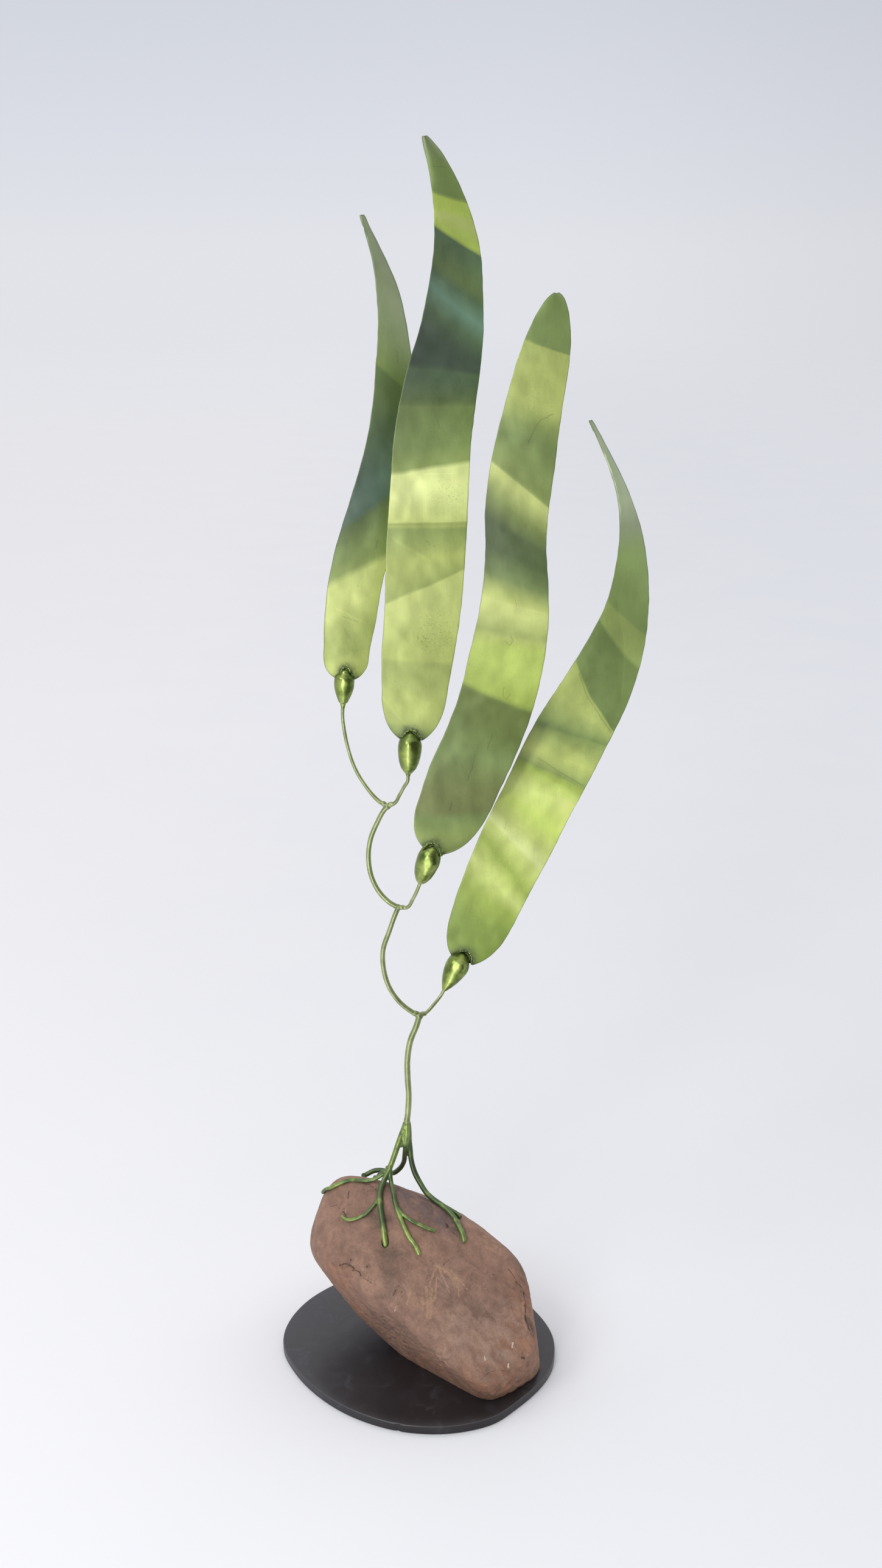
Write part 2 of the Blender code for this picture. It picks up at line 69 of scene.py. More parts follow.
def deselectAll():
    if bpy.context.mode != "OBJECT":
        bpy.ops.object.mode_set(mode="OBJECT")
    bpy.ops.object.select_all(action="DESELECT")


def only(piece):
    deselectAll()
    piece.select_set(True)
    bpy.context.view_layer.objects.active = piece
    return piece


def applyStep(piece, kind, **settings):
    # Adds one modifier and applies it
    only(piece)
    step = piece.modifiers.new(kind.lower(), kind)
    for key, value in settings.items():
        setattr(step, key, value)
    bpy.ops.object.modifier_apply(modifier=step.name)


def addShape(kind, **settings):
    # A new primitive, with nothing else selected
    deselectAll()
    getattr(bpy.ops.mesh, f"primitive_{kind}_add")(**settings)
    return bpy.context.object


def editAll(*steps):
    # Edit-mode operators in turn on the whole active piece, each with its settings
    bpy.ops.object.mode_set(mode="EDIT")
    for step, settings in steps:
        bpy.ops.mesh.select_all(action="SELECT")
        step(**settings)
    bpy.ops.object.mode_set(mode="OBJECT")


def cutAway(piece, cutter):
    applyStep(piece, "BOOLEAN", object=cutter, operation="DIFFERENCE", solver="EXACT")
    bpy.data.objects.remove(cutter)


def joinPieces(pieces, name):
    deselectAll()
    for piece in pieces:
        piece.select_set(True)
    bpy.context.view_layer.objects.active = pieces[0]
    bpy.ops.object.join()
    pieces[0].name = pieces[0].data.name = name
    return pieces[0]


def readPlaces(piece):
    flat = np.empty(len(piece.data.vertices) * 3, np.float32)
    piece.data.vertices.foreach_get("co", flat)
    return flat.reshape(-1, 3).astype(float)


def writePlaces(piece, places):
    piece.data.vertices.foreach_set("co", np.asarray(places, np.float32).ravel())
    piece.data.update()


def writeMark(piece, name, values):
    # One number per vertex, which the materials read by its name
    mark = piece.data.attributes.new(name, "FLOAT", "POINT")
    mark.data.foreach_set("value", np.asarray(values, np.float32))


def settle(piece, material, slot, *nodes, angle, **marks):
    # A finished piece's marks, material, smooth shading and place in the frame
    for name, values in marks.items():
        writeMark(piece, name, values)
    piece.data.materials.clear()
    piece.data.materials.append(material)
    only(piece)
    bpy.ops.object.transform_apply(location=True, rotation=True, scale=True)
    bpy.ops.object.shade_smooth_by_angle(angle=math.radians(angle))
    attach(piece, "root")
    if nodes:
        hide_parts(*nodes)


def smoothValues(stations, at):
    # A smooth curve through the stations, read at many places; the first column is the place
    table = np.array(stations, float)
    place = table[:, 0]
    slope = np.gradient(table[:, 1:], place, axis=0)
    at = np.atleast_1d(np.asarray(at, float))
    k = np.clip(np.searchsorted(place, at) - 1, 0, len(place) - 2)
    span = (place[k + 1] - place[k])[:, None]
    t = (at[:, None] - place[k][:, None]) / span
    start, end = table[k, 1:], table[k + 1, 1:]
    lead, trail = slope[k] * span, slope[k + 1] * span
    return ((2 * t**3 - 3 * t**2 + 1) * start + (t**3 - 2 * t**2 + t) * lead
            + (3 * t**2 - 2 * t**3) * end + (t**3 - t**2) * trail)


def smoothRoute(points, step):
    # Points about one step apart on a smooth curve through the given points
    points = np.array([tuple(p) for p in points], float)
    along = np.concatenate([[0], np.cumsum(np.linalg.norm(np.diff(points, axis=0), axis=1))])
    count = max(2, round(along[-1] / step))
    at = along[-1] * np.arange(count + 1) / count
    return [Vector(p) for p in smoothValues(np.column_stack([along, points]), at)]


def ripple(places, size, seed, octaves=2):
    # Smooth seeded noise from -1 to 1 at each place, with features of about one size
    shift = Vector((seed * 7.31, seed * 3.17, seed * 5.71))
    return np.array([noise.fractal(Vector(p) / size + shift, 1.0, 2.0, octaves)
                     for p in places])


def near(places, spot, width):
    # 1 at a spot, falling smoothly to 0 over about one width
    away = np.linalg.norm(places - np.array(spot, float), axis=1) / width
    return np.exp(-away * away)


def routeNear(places, route, width):
    # The same along a route
    away = np.full(len(places), 1e6)
    for spot in route:
        away = np.minimum(away, np.linalg.norm(places - np.array(tuple(spot)), axis=1))
    return np.exp(-(away / width) ** 2)


def rod(name, route, radii, sides=5):
    # A round rod along a route in millimetres, with its radius given along it
    curve = bpy.data.curves.new(name, "CURVE")
    curve.dimensions = "3D"
    curve.bevel_depth = mm
    curve.bevel_resolution = sides
    curve.use_fill_caps = True
    spline = curve.splines.new("POLY")
    spline.points.add(len(route) - 1)
    shares = np.interp(np.linspace(0, 1, len(route)), np.linspace(0, 1, len(radii)), radii)
    for place, share, point in zip(route, shares, spline.points):
        point.co = (*(Vector(place) * mm), 1.0)
        point.radius = share
    made = bpy.data.objects.new(name, curve)
    bpy.context.scene.collection.objects.link(made)
    only(made)
    bpy.ops.object.convert(target="MESH")
    return bpy.context.object


def blob(place, radius, stretch=(1, 1, 1), detail=3):
    made = addShape("ico_sphere", subdivisions=detail, radius=radius * mm,
                    location=Vector(place) * mm)
    made.scale = stretch
    bpy.ops.object.transform_apply(location=True, rotation=True, scale=True)
    return made


def melt(piece, voxel, rounds):
    # Joined lumps become one skin, and their seams are smoothed into fillets
    applyStep(piece, "REMESH", mode="VOXEL", voxel_size=voxel * mm, use_smooth_shade=True)
    applyStep(piece, "SMOOTH", factor=0.5, iterations=rounds)


# Material tools

def newMaterial(name):
    material = bpy.data.materials.new(name)
    material.use_nodes = True
    tree = material.node_tree
    return material, tree, tree.nodes["Principled BSDF"]


def addNode(tree, kind, inputs=None, **settings):
    made = tree.nodes.new(kind)
    for key, value in settings.items():
        setattr(made, key, value)
    for key, value in (inputs or {}).items():
        if isinstance(value, bpy.types.NodeSocket):
            tree.links.new(value, made.inputs[key])
        else:
            made.inputs[key].default_value = value
    return made


def calc(tree, operation, a, b=0.0, clamp=False):
    return addNode(tree, "ShaderNodeMath", {0: a, 1: b}, operation=operation,
                   use_clamp=clamp).outputs[0]


def product(tree, first, *others):
    for other in others:
        first = calc(tree, "MULTIPLY", first, other)
    return first


def total(tree, first, *others):
    for other in others:
        first = calc(tree, "ADD", first, other)
    return first


def weighted(tree, *parts):
    # The sum of values, each with its weight
    return total(tree, *[calc(tree, "MULTIPLY", value, weight) for value, weight in parts])


def vectorCalc(tree, operation, a, b=(0, 0, 0)):
    return addNode(tree, "ShaderNodeVectorMath", {0: a, 1: b}, operation=operation).outputs


def scaled(tree, vector, share):
    return addNode(tree, "ShaderNodeVectorMath", {0: vector, "Scale": share},
                   operation="SCALE").outputs[0]


def remap(tree, value, low, high, toLow=0.0, toHigh=1.0, linear=False):
    return addNode(tree, "ShaderNodeMapRange", {"Value": value, "From Min": low,
                   "From Max": high, "To Min": toLow, "To Max": toHigh},
                   interpolation_type="LINEAR" if linear else "SMOOTHSTEP").outputs[0]


def mixColour(tree, factor, a, b):
    made = addNode(tree, "ShaderNodeMix", {0: factor}, data_type="RGBA")
    for index, value in ((6, a), (7, b)):
        if isinstance(value, bpy.types.NodeSocket):
            tree.links.new(value, made.inputs[index])
        else:
            made.inputs[index].default_value = (*value, 1.0)
    return made.outputs[2]


def stain(tree, colour, tint, *shares):
    # A tint over a colour, as strongly as all the shares together
    return mixColour(tree, product(tree, *shares), colour, tint)


def lighter(tree, shade, *shares):
    # Lighter by all the shares together, or darker where they are negative
    return calc(tree, "MULTIPLY", shade, calc(tree, "ADD", 1.0, product(tree, *shares)))


def makeRamp(tree, value, stops):
    most = 32  # one ramp's stops, so a longer one is made of two
    if len(stops) > most:
        half = len(stops) // 2
        past = calc(tree, "GREATER_THAN", value, stops[half][0])
        return mixColour(tree, past, makeRamp(tree, value, stops[:half + 1]),
                         makeRamp(tree, value, stops[half:]))
    made = addNode(tree, "ShaderNodeValToRGB", {"Fac": value})
    ramp = made.color_ramp
    while len(ramp.elements) < len(stops):
        ramp.elements.new(1.0)
    for element, (place, colour) in zip(ramp.elements, stops):
        element.position = place
        element.color = (*colour, 1.0)
    return made.outputs[0]


def cloud(tree, vector, scale, detail=3.0, roughness=0.55, distortion=0.0, output=0):
    return addNode(tree, "ShaderNodeTexNoise", {
        "Vector": vector, "Scale": scale, "Detail": detail, "Roughness": roughness,
        "Distortion": distortion}).outputs[output]


def objectPlace(tree, stretch=(1000, 1000, 1000)):
    # Object coordinates in millimetres, or stretched for grain
    place = addNode(tree, "ShaderNodeTexCoord").outputs["Object"]
    return addNode(tree, "ShaderNodeMapping", {"Vector": place, "Scale": stretch}).outputs[0]


def readMark(tree, name):
    return addNode(tree, "ShaderNodeAttribute", attribute_name=name).outputs["Fac"]


def finishShader(tree, shader, colour, rough, metallic, relief, strength, depth):
    # The shader's colour, gloss and bump
    tree.links.new(colour, shader.inputs["Base Color"])
    shader.inputs["Metallic"].default_value = metallic
    if isinstance(rough, float):
        shader.inputs["Roughness"].default_value = rough
    else:
        tree.links.new(rough, shader.inputs["Roughness"])
    bump = addNode(tree, "ShaderNodeBump", {"Height": relief, "Strength": strength,
                                            "Distance": depth})
    tree.links.new(bump.outputs[0], shader.inputs["Normal"])


def srgb(red, green, blue):
    def linear(value):
        value /= 255
        return value / 12.92 if value <= 0.04045 else ((value + 0.055) / 1.055) ** 2.4
    return linear(red), linear(green), linear(blue)


def makeStrokeGroup():
    # How strongly one short straight stroke shows at a place, all in millimetres
    group = bpy.data.node_groups.new("stroke", "ShaderNodeTree")
    face = group.interface
    for name, kind in (("Place", "NodeSocketVector"), ("Start", "NodeSocketVector"),
                       ("End", "NodeSocketVector"), ("Width", "NodeSocketFloat"),
                       ("Before", "NodeSocketFloat")):
        face.new_socket(name, in_out="INPUT", socket_type=kind)
    face.new_socket("Shows", in_out="OUTPUT", socket_type="NodeSocketFloat")
    inside = group.nodes.new("NodeGroupInput").outputs
    end = group.nodes.new("NodeGroupOutput")

    # A trace of the stroke before keeps the strokes in turn, which a long list needs
    place = addNode(group, "ShaderNodeVectorMath", {0: inside["Before"], 1: (1e-6, 1e-6, 1e-6),
                    2: inside["Place"]}, operation="MULTIPLY_ADD").outputs[0]
    fromStart = vectorCalc(group, "SUBTRACT", place, inside["Start"])[0]
    along = vectorCalc(group, "SUBTRACT", inside["End"], inside["Start"])[0]
    share = calc(group, "DIVIDE", vectorCalc(group, "DOT_PRODUCT", fromStart, along)["Value"],
                 vectorCalc(group, "DOT_PRODUCT", along, along)["Value"], clamp=True)
    missed = vectorCalc(group, "SUBTRACT", fromStart, scaled(group, along, share))[0]
    away = vectorCalc(group, "LENGTH", missed)["Value"]
    shows = calc(group, "SUBTRACT", 1.0, calc(group, "DIVIDE", away, inside["Width"]),
                 clamp=True)
    group.links.new(calc(group, "MAXIMUM", shows, inside["Before"]), end.inputs[0])
    return group


strokeGroup = makeStrokeGroup()


def waver(tree, place, scale, detail, reach):
    # Drawn marks follow paths that waver a little
    shift = vectorCalc(tree, "SUBTRACT", cloud(tree, place, scale, detail, output=1),
                       (0.5, 0.5, 0.5))[0]
    return vectorCalc(tree, "ADD", place, vectorCalc(tree, "MULTIPLY", shift, reach)[0])[0]


def drawStrokes(tree, place, lines, skin=None):
    # The strongest of many strokes; a line is its width and its points in millimetres,
    # which are laid on the skin where one is given
    found = None
    for width, points in lines:
        if skin:
            points = [skin.find_nearest(Vector(point))[0] for point in points]
        for a, b in zip(points, points[1:]):
            made = addNode(tree, "ShaderNodeGroup", node_tree=strokeGroup)
            tree.links.new(place, made.inputs["Place"])
            made.inputs["Start"].default_value = a
            made.inputs["End"].default_value = b
            made.inputs["Width"].default_value = width
            if found is not None:
                tree.links.new(found, made.inputs["Before"])
            found = made.outputs[0]
    return found


# Camera, daylight and floor

studio = {
    "cameraPlace": (0.0208, -1.5338, 1.0908),
    "cameraPitch": 17.16,
    "lensPixels": 2800, "framePixels": 2576, "sensor": 36.0,
    # Lamps: place, width, height, watts, what they point at
    "lamps": {"stripLight": ((-0.75, -1.95, 1.15), 0.22, 2.2, 14, (0, 0, 1.15)),
              "glossLight": ((-0.42, -0.78, 0.74), 0.13, 1.44, 2.0, (0, 0, 0.74)),
              "floorGloss": ((-0.36, -0.70, 0.004), 0.15, 1.10, 1.7, (-0.36, -0.70, 1.0)),
              "keyLight": ((-1.7, -1.2, 2.3), 1.1, 1.1, 17, (0, 0, 0.5))},
    # Dark cards that only show in the gloss: place, width, height, tilt and turn
    "cards": [((0.80, -0.80, 0.62), 1.15, 1.22, 90, 45),
              ((0.62, -0.56, 0.003), 1.10, 0.80, 0, 45)],
    "floorTurn": -27, "floorRadius": 40.0,
    "horizon": (0.755, 0.77, 0.815),
}


def makeStudio():
    scene = bpy.context.scene
    deselectAll()
    bpy.ops.object.camera_add(location=studio["cameraPlace"],
                              rotation=(math.radians(90 - studio["cameraPitch"]), 0, 0))
    camera = bpy.context.object
    camera.data.sensor_width = studio["sensor"]
    camera.data.lens = studio["lensPixels"] / studio["framePixels"] * studio["sensor"]
    camera.data.clip_end = 200
    scene.camera = camera
    scene.view_settings.view_transform = "Standard"
    scene.view_settings.look = "None"
    for name, (place, wide, high, watts, aim) in studio["lamps"].items():
        bpy.ops.object.light_add(type="AREA", location=place)
        lamp = bpy.context.object
        lamp.name = name
        lamp.data.shape = "RECTANGLE"
        lamp.data.size = wide
        lamp.data.size_y = high
        lamp.data.energy = watts
        lamp.visible_camera = False
        lamp.visible_diffuse = "gloss" not in name.lower()
        turn = (Vector(aim) - lamp.location).to_track_quat("-Z", "Y")
        lamp.rotation_euler = turn.to_euler()
        if name == "floorGloss":  # it lies along the line to the kelp's foot
            lamp.rotation_euler = (math.pi, 0, math.radians(studio["floorTurn"]))
    makeRoom(scene)
    makeFloor()
    makeCards()
    say("studio ready")


def makeRoom(scene):
    world = bpy.data.worlds.new("studioRoom")
    scene.world = world
    world.use_nodes = True
    tree = world.node_tree
    facing = addNode(tree, "ShaderNodeTexCoord").outputs["Generated"]
    split = addNode(tree, "ShaderNodeSeparateXYZ", {0: facing}).outputs
    # The wall is pale at the horizon and greyer above, and the ceiling is bright
    height = remap(tree, split[2], -0.2, 1.0, linear=True)
    room = makeRamp(tree, height, [
        (0.150, studio["horizon"]), (0.170, studio["horizon"]), (0.215, (0.71, 0.73, 0.79)),
        (0.285, (0.64, 0.665, 0.73)), (0.40, (0.62, 0.64, 0.69)), (0.58, (1.08, 1.08, 1.11)),
        (1.00, (1.25, 1.25, 1.27))])
    right = remap(tree, split[0], 0.02, 0.32, 1.0, 0.90)
    room = scaled(tree, room, right)
    # The room behind the camera is dim
    room = stain(tree, room, (0.10, 0.105, 0.12), remap(tree, split[1], 0.25, -0.45),
                 remap(tree, split[2], 0.10, 0.28), remap(tree, split[2], 0.90, 0.60))
    tree.links.new(room, tree.nodes["Background"].inputs["Color"])


def makeFloor():
    floor = addShape("circle", vertices=96, radius=studio["floorRadius"], fill_type="NGON")
    floor.name = "studioFloor"
    material, tree, shader = newMaterial("paleFloor")
    place = addNode(tree, "ShaderNodeTexCoord").outputs["Object"]
    across = addNode(tree, "ShaderNodeSeparateXYZ", {0: place}).outputs[0]
    away = vectorCalc(tree, "LENGTH", place)["Value"]
    grain = cloud(tree, place, 3.0, 2.0)
    # The floor is painted lighter to the left and a little darker near the middle, as painted light
    # and painted shade
    tone = total(tree, remap(tree, across, -1.4, 1.6), remap(tree, grain, 0.3, 0.7, -0.06, 0.06))
    shade = makeRamp(tree, tone, [(0.0, (0.95, 0.945, 0.96)), (1.0, (0.85, 0.865, 0.90))])
    shade = scaled(tree, shade, remap(tree, away, 0.2, 3.0, 0.93, 1.0))
    tree.links.new(shade, shader.inputs["Base Color"])
    shader.inputs["Roughness"].default_value = 0.75
    shader.inputs["Specular IOR Level"].default_value = 0.0
    # Far away the floor melts into the wall
    fade = remap(tree, away, 4.0, 26.0)
    clear = addNode(tree, "ShaderNodeBsdfTransparent").outputs[0]
    mixed = addNode(tree, "ShaderNodeMixShader", {0: fade, 1: shader.outputs[0], 2: clear})
    tree.links.new(mixed.outputs[0], tree.nodes["Material Output"].inputs["Surface"])
    floor.data.materials.append(material)


def makeCards():
    material, _, shader = newMaterial("darkCard")
    shader.inputs["Base Color"].default_value = (0.08, 0.085, 0.08, 1)
    shader.inputs["Roughness"].default_value = 1.0
    for number, (place, wide, high, tilt, turn) in enumerate(studio["cards"], 1):
        card = addShape("plane", size=1.0, location=place,
                        rotation=(math.radians(tilt), 0, math.radians(turn)))
        card.name = f"studioCard{number}"
        card.scale = (wide, high, 1)
        card.data.materials.append(material)
        card.visible_camera = False
        card.visible_diffuse = False
        card.visible_shadow = False


makeStudio()

# The blackened plate

plate = {
    "thick": 9.0, "edgeBevel": 0.9, "around": 288, "rings": 9,
    "rim": [(0, 139), (26, 132), (60, 137), (95, 140), (134, 139), (155, 143), (183, 144),
            (199, 137), (214, 133), (246, 134), (266, 139), (288, 144), (300, 145),
            (312, 141), (345, 141)],
    "pinPlace": (46.0, -28.0), "pinHole": 5.4,
    # A nick in the rim: turn, depth and width; and how far the hammer moved rim and top
    "notch": (-99, 1.3, 2.2), "rimWave": 0.35, "topWave": 0.12,
}


def pinDrill(depth, height):
    return addShape("cylinder", vertices=48, radius=plate["pinHole"] * mm, depth=depth * mm,
                    location=(*(Vector(plate["pinPlace"]) * mm), height * mm))


def makePlate():
    thick = plate["thick"]
    piece = addShape("cylinder", vertices=plate["around"], radius=1.0, depth=thick * mm,
                     location=(0, 0, thick / 2 * mm))
    piece.name = "plateDressed"
    bpy.ops.object.transform_apply(location=True, rotation=True, scale=True)
    bpy.ops.object.mode_set(mode="EDIT")
    for share in (0.25, 0.5, 0.75):
        bpy.ops.mesh.select_all(action="SELECT")
        bpy.ops.mesh.bisect(plane_co=(0, 0, thick * share * mm), plane_no=(0, 0, 1))
    bpy.ops.mesh.select_mode(type="FACE")
    bpy.ops.mesh.select_all(action="DESELECT")
    bpy.ops.object.mode_set(mode="OBJECT")
    for face in piece.data.polygons:
        face.select = abs(face.normal.z) > 0.9
    bpy.ops.object.mode_set(mode="EDIT")
    for _ in range(plate["rings"]):
        bpy.ops.mesh.inset(thickness=0.1, use_boundary=True)
    bpy.ops.object.mode_set(mode="OBJECT")

    places = readPlaces(piece)
    turn = np.degrees(np.arctan2(places[:, 1], places[:, 0])) % 360
    rim = plate["rim"]
    looped = [(rim[-1][0] - 360, rim[-1][1])] + rim + [(a + 360, r) for a, r in rim[:2]]
    radius = smoothValues(looped, turn)[:, 0]
    hammered = ripple([(math.cos(math.radians(a)) * 9, math.sin(math.radians(a)) * 9, z * 160)
                       for a, z in zip(turn, places[:, 2])], 1.0, 3)
    radius = radius + plate["rimWave"] * (hammered - 0.2)
    angle, depth, width = plate["notch"]
    gap = ((turn - angle + 180) % 360 - 180) * radius * math.pi / 180
    radius = radius - depth * np.exp(-(gap / width) ** 2)
    radius = np.minimum(radius, smoothValues(looped, turn)[:, 0] - 0.3)
    places[:, 0] *= radius * mm
    places[:, 1] *= radius * mm
    # The top is a little uneven from the hammer, and the underside stays flat
    top = places[:, 2] > (thick - 0.1) * mm
    wave = plate["topWave"] * np.clip(ripple(places[top] * 1000, 34.0, 5), -1, 1)
    places[top, 2] += (-plate["topWave"] + wave) * mm
    writePlaces(piece, places)
    applyStep(piece, "BEVEL", width=plate["edgeBevel"] * mm, segments=3,
              limit_method="ANGLE", angle_limit=math.radians(50))
    cutAway(piece, pinDrill(30, thick / 2))
    settle(piece, makeBlackSteel(), "base_plate", "base_plate", angle=35)
    say("plate made")


def makeBlackSteel():
    material, tree, shader = newMaterial("blackenedSteel")
    place = objectPlace(tree)
    broad = cloud(tree, place, 0.012, 3.0, 0.5, 0.6)
    smudge = cloud(tree, place, 0.035, 5.0, 0.62, 0.8)
    grain = cloud(tree, place, 1.6, 3.0, 0.6)
    across = addNode(tree, "ShaderNodeSeparateXYZ", {0: place}).outputs[0]
    rubbed = addNode(tree, "ShaderNodeNewGeometry").outputs["Pointiness"]
    colour = mixColour(tree, remap(tree, broad, 0.35, 0.65), srgb(36, 32, 34), srgb(46, 42, 45))
    # Greyer to the left as a painted reflection, cloudy from the heat, and bright where its edges
    # are rubbed
    colour = stain(tree, colour, srgb(56, 56, 62), remap(tree, across, 20, -120), 0.6)
    colour = stain(tree, colour, srgb(84, 84, 92), remap(tree, smudge, 0.54, 0.72), 0.35)
    colour = stain(tree, colour, srgb(110, 106, 106), remap(tree, rubbed, 0.515, 0.56), 0.6)
    relief = weighted(tree, (grain, 0.3), (smudge, 1.0))
    rough = remap(tree, smudge, 0.3, 0.7, 0.30, 0.42)
    finishShader(tree, shader, colour, rough, 0.1, relief, 0.18, 0.0004)
    return material


makePlate()

# The leaning stone

stone = {
    "middle": (12.0, -12.0, 85.0), "rounding": 165.0, "cuts": 64, "seat": 9.3,
    # The relief: size and height of its broad, scarred and fine parts, all worn in a little
    "broad": (34.0, 0.90), "scars": (11.0, 0.62), "fine": (5.5, 0.40),
    "wornIn": 1.0, "proudest": 0.6, "flakeWidth": 34, "relief": 0.95,
    # The hole that takes the centre root: how much of the root, and its radius along it
    "holeLength": 26, "holeRadii": [3.0, 3.5, 3.9, 4.1, 4.1, 3.6],
    # The main faces: azimuth and elevation in degrees, and distance from the middle
    "faces": {"low left": (207, -26, 84.5), "front band": (229, -27, 65.5),
              "low end": (311, -20, 128.5), "right end": (2, 8, 98.5),
              "right shoulder": (31, 34, 81.0), "right crown": (42, 53, 75.0),
              "crown": (75, 53, 94.5), "left shoulder": (153, 39, 151.0),
              "left end": (177, 14, 134.0), "front left": (236, 41, 76.0),
              "front right": (287, 41, 51.5), "back left": (111, 14, 121.5),
              "back right": (56, -3, 92.5), "under left": (149, -54, 86.0),
              "under back": (82, -41, 92.5)},
    "hollows": [((-37, -18, 160), 3.5, 11.0), ((-35, -36, 143), 5.0, 12.0),
                ((-31, -52, 122), 3.5, 15.0), ((-26, -64, 100), 2.5, 17.0)],
    # Worn furrows: how deep, how wide, and the points they run through
    "furrows": [
        (1.3, 3.0, [(-82, -31, 119), (-70, -38, 121), (-61, -46, 119), (-47, -58, 113)]),
        (0.9, 3.4, [(47, -51, 109), (55, -56, 101), (62, -61, 92), (66, -67, 84)]),
        (1.2, 3.2, [(92, -34, 110), (98, -38, 103), (106, -45, 89)]),
        (2.0, 3.6, [(104, -56, 80), (108, -60, 74), (112, -61, 64), (114, -64, 58)]),
        (0.8, 2.8, [(-29, -67, 107), (-24, -61, 115), (-14, -50, 128), (5, -47, 127)]),
        (0.9, 3.0, [(-93, 16, 157), (-87, 11, 158), (-78, 3, 157)]),
        (0.8, 2.6, [(-75, 17, 171), (-76, 14, 168), (-75, 9, 165)]),
        (0.7, 2.4, [(26, -36, 132), (23, -46, 122)]),
        (1.0, 3.2, [(68, -102, 43), (81, -100, 36), (92, -89, 24)]),
        (0.9, 3.0, [(72, -97, 52), (84, -95, 44), (97, -86, 38)]),
        (1.8, 5.0, [(-24, 12, 180), (6, 3, 170), (18, -4, 164), (36, -13, 153)]),
        (1.5, 3.2, [(5, -46, 128), (-6, -48, 128), (-11, -49, 128), (-18, -56, 120),
                    (-25, -65, 110), (-27, -69, 105), (-38, -67, 104)]),
        (0.8, 3.0, [(-60, 21, 180), (-53, 17, 181), (-47, 10, 181), (-43, 4, 178)]),
        (0.7, 3.0, [(60, -105, 37), (66, -103, 42), (75, -100, 44), (84, -97, 41)]),
        (0.7, 3.0, [(66, -107, 28), (73, -103, 34), (84, -98, 35), (97, -90, 29)]),
        (0.8, 3.0, [(79, -100, 21), (88, -96, 25), (98, -86, 20), (108, -75, 17)]),
        (2.2, 9.0, [(-49, -11, 160), (-46, -25, 148), (-41, -35, 139)]),
        (1.2, 7.0, [(16, -58, 112), (12, -72, 98), (13, -84, 82)]),
        (1.0, 8.0, [(38, -62, 98), (46, -74, 82), (52, -86, 66)]),
    ],
    # Low ridges: how high, how wide, and the points they run through
    "ridges": [
        (0.9, 6.0, [(16, -45, 126), (24, -46, 122), (35, -50, 114), (45, -52, 107)]),
        (0.8, 7.0, [(45, -49, 111), (55, -54, 103), (67, -61, 91), (76, -69, 79)]),
        (0.8, 6.0, [(6, -88, 78), (18, -91, 69), (31, -97, 55), (48, -103, 41)]),
        (0.7, 7.0, [(-35, -62, 112), (-22, -72, 96), (-8, -82, 82), (4, -88, 74)]),
        (0.8, 6.0, [(-63, -7, 158), (-60, -14, 153), (-56, -18, 151)]),
    ],
    # The scars' direction, as stretched axes, and where the stone has flaked
    "grain": [(0.55, 0.0, 0.35), (0.0, 1.0, 0.0), (-0.65, 0.0, 1.1)],
    "flaked": [(-63, -27, 64), (-25, -56, 54), (24, -94, 51), (104, -50, 84), (108, -72, 50),
               (80, -100, 24), (-84, -25, 100)],
    "pits": [((-53, -45, 126), 2.2, 2.6), ((-70, -34, 126), 1.6, 2.4), ((-71, 9, 168), 1.2, 2.2),
             ((-59, 13, 177), 1.3, 2.4), ((103, -84, 46), 1.3, 3.6), ((62, -80, 72), 0.8, 2.6),
             ((92, -81, 60), 1.0, 2.6), ((64, -95, 54), 0.8, 2.4), ((-60, 12, 175), 0.9, 2.5)],
}


def roundedReach(directions):
    # How far the rounded faces lie from the stone's middle in each direction
    normals, reaches = [], []
    for azimuth, elevation, reach in stone["faces"].values():
        a, e = math.radians(azimuth), math.radians(elevation)
        normals.append((math.cos(e) * math.cos(a), math.cos(e) * math.sin(a), math.sin(e)))
        reaches.append(reach)
    along = directions @ np.array(normals).T
    reaches = np.array(reaches)
    low = np.full(len(directions), 5.0)
    high = np.full(len(directions), 400.0)
    for _ in range(30):
        middle = (low + high) / 2
        past = (along * middle[:, None] - reaches) * mm * stone["rounding"]
        top = past.max(axis=1)
        over = top + np.log(np.exp(past - top[:, None]).sum(axis=1)) > 0
        high = np.where(over, middle, high)
        low = np.where(over, low, middle)
    return low


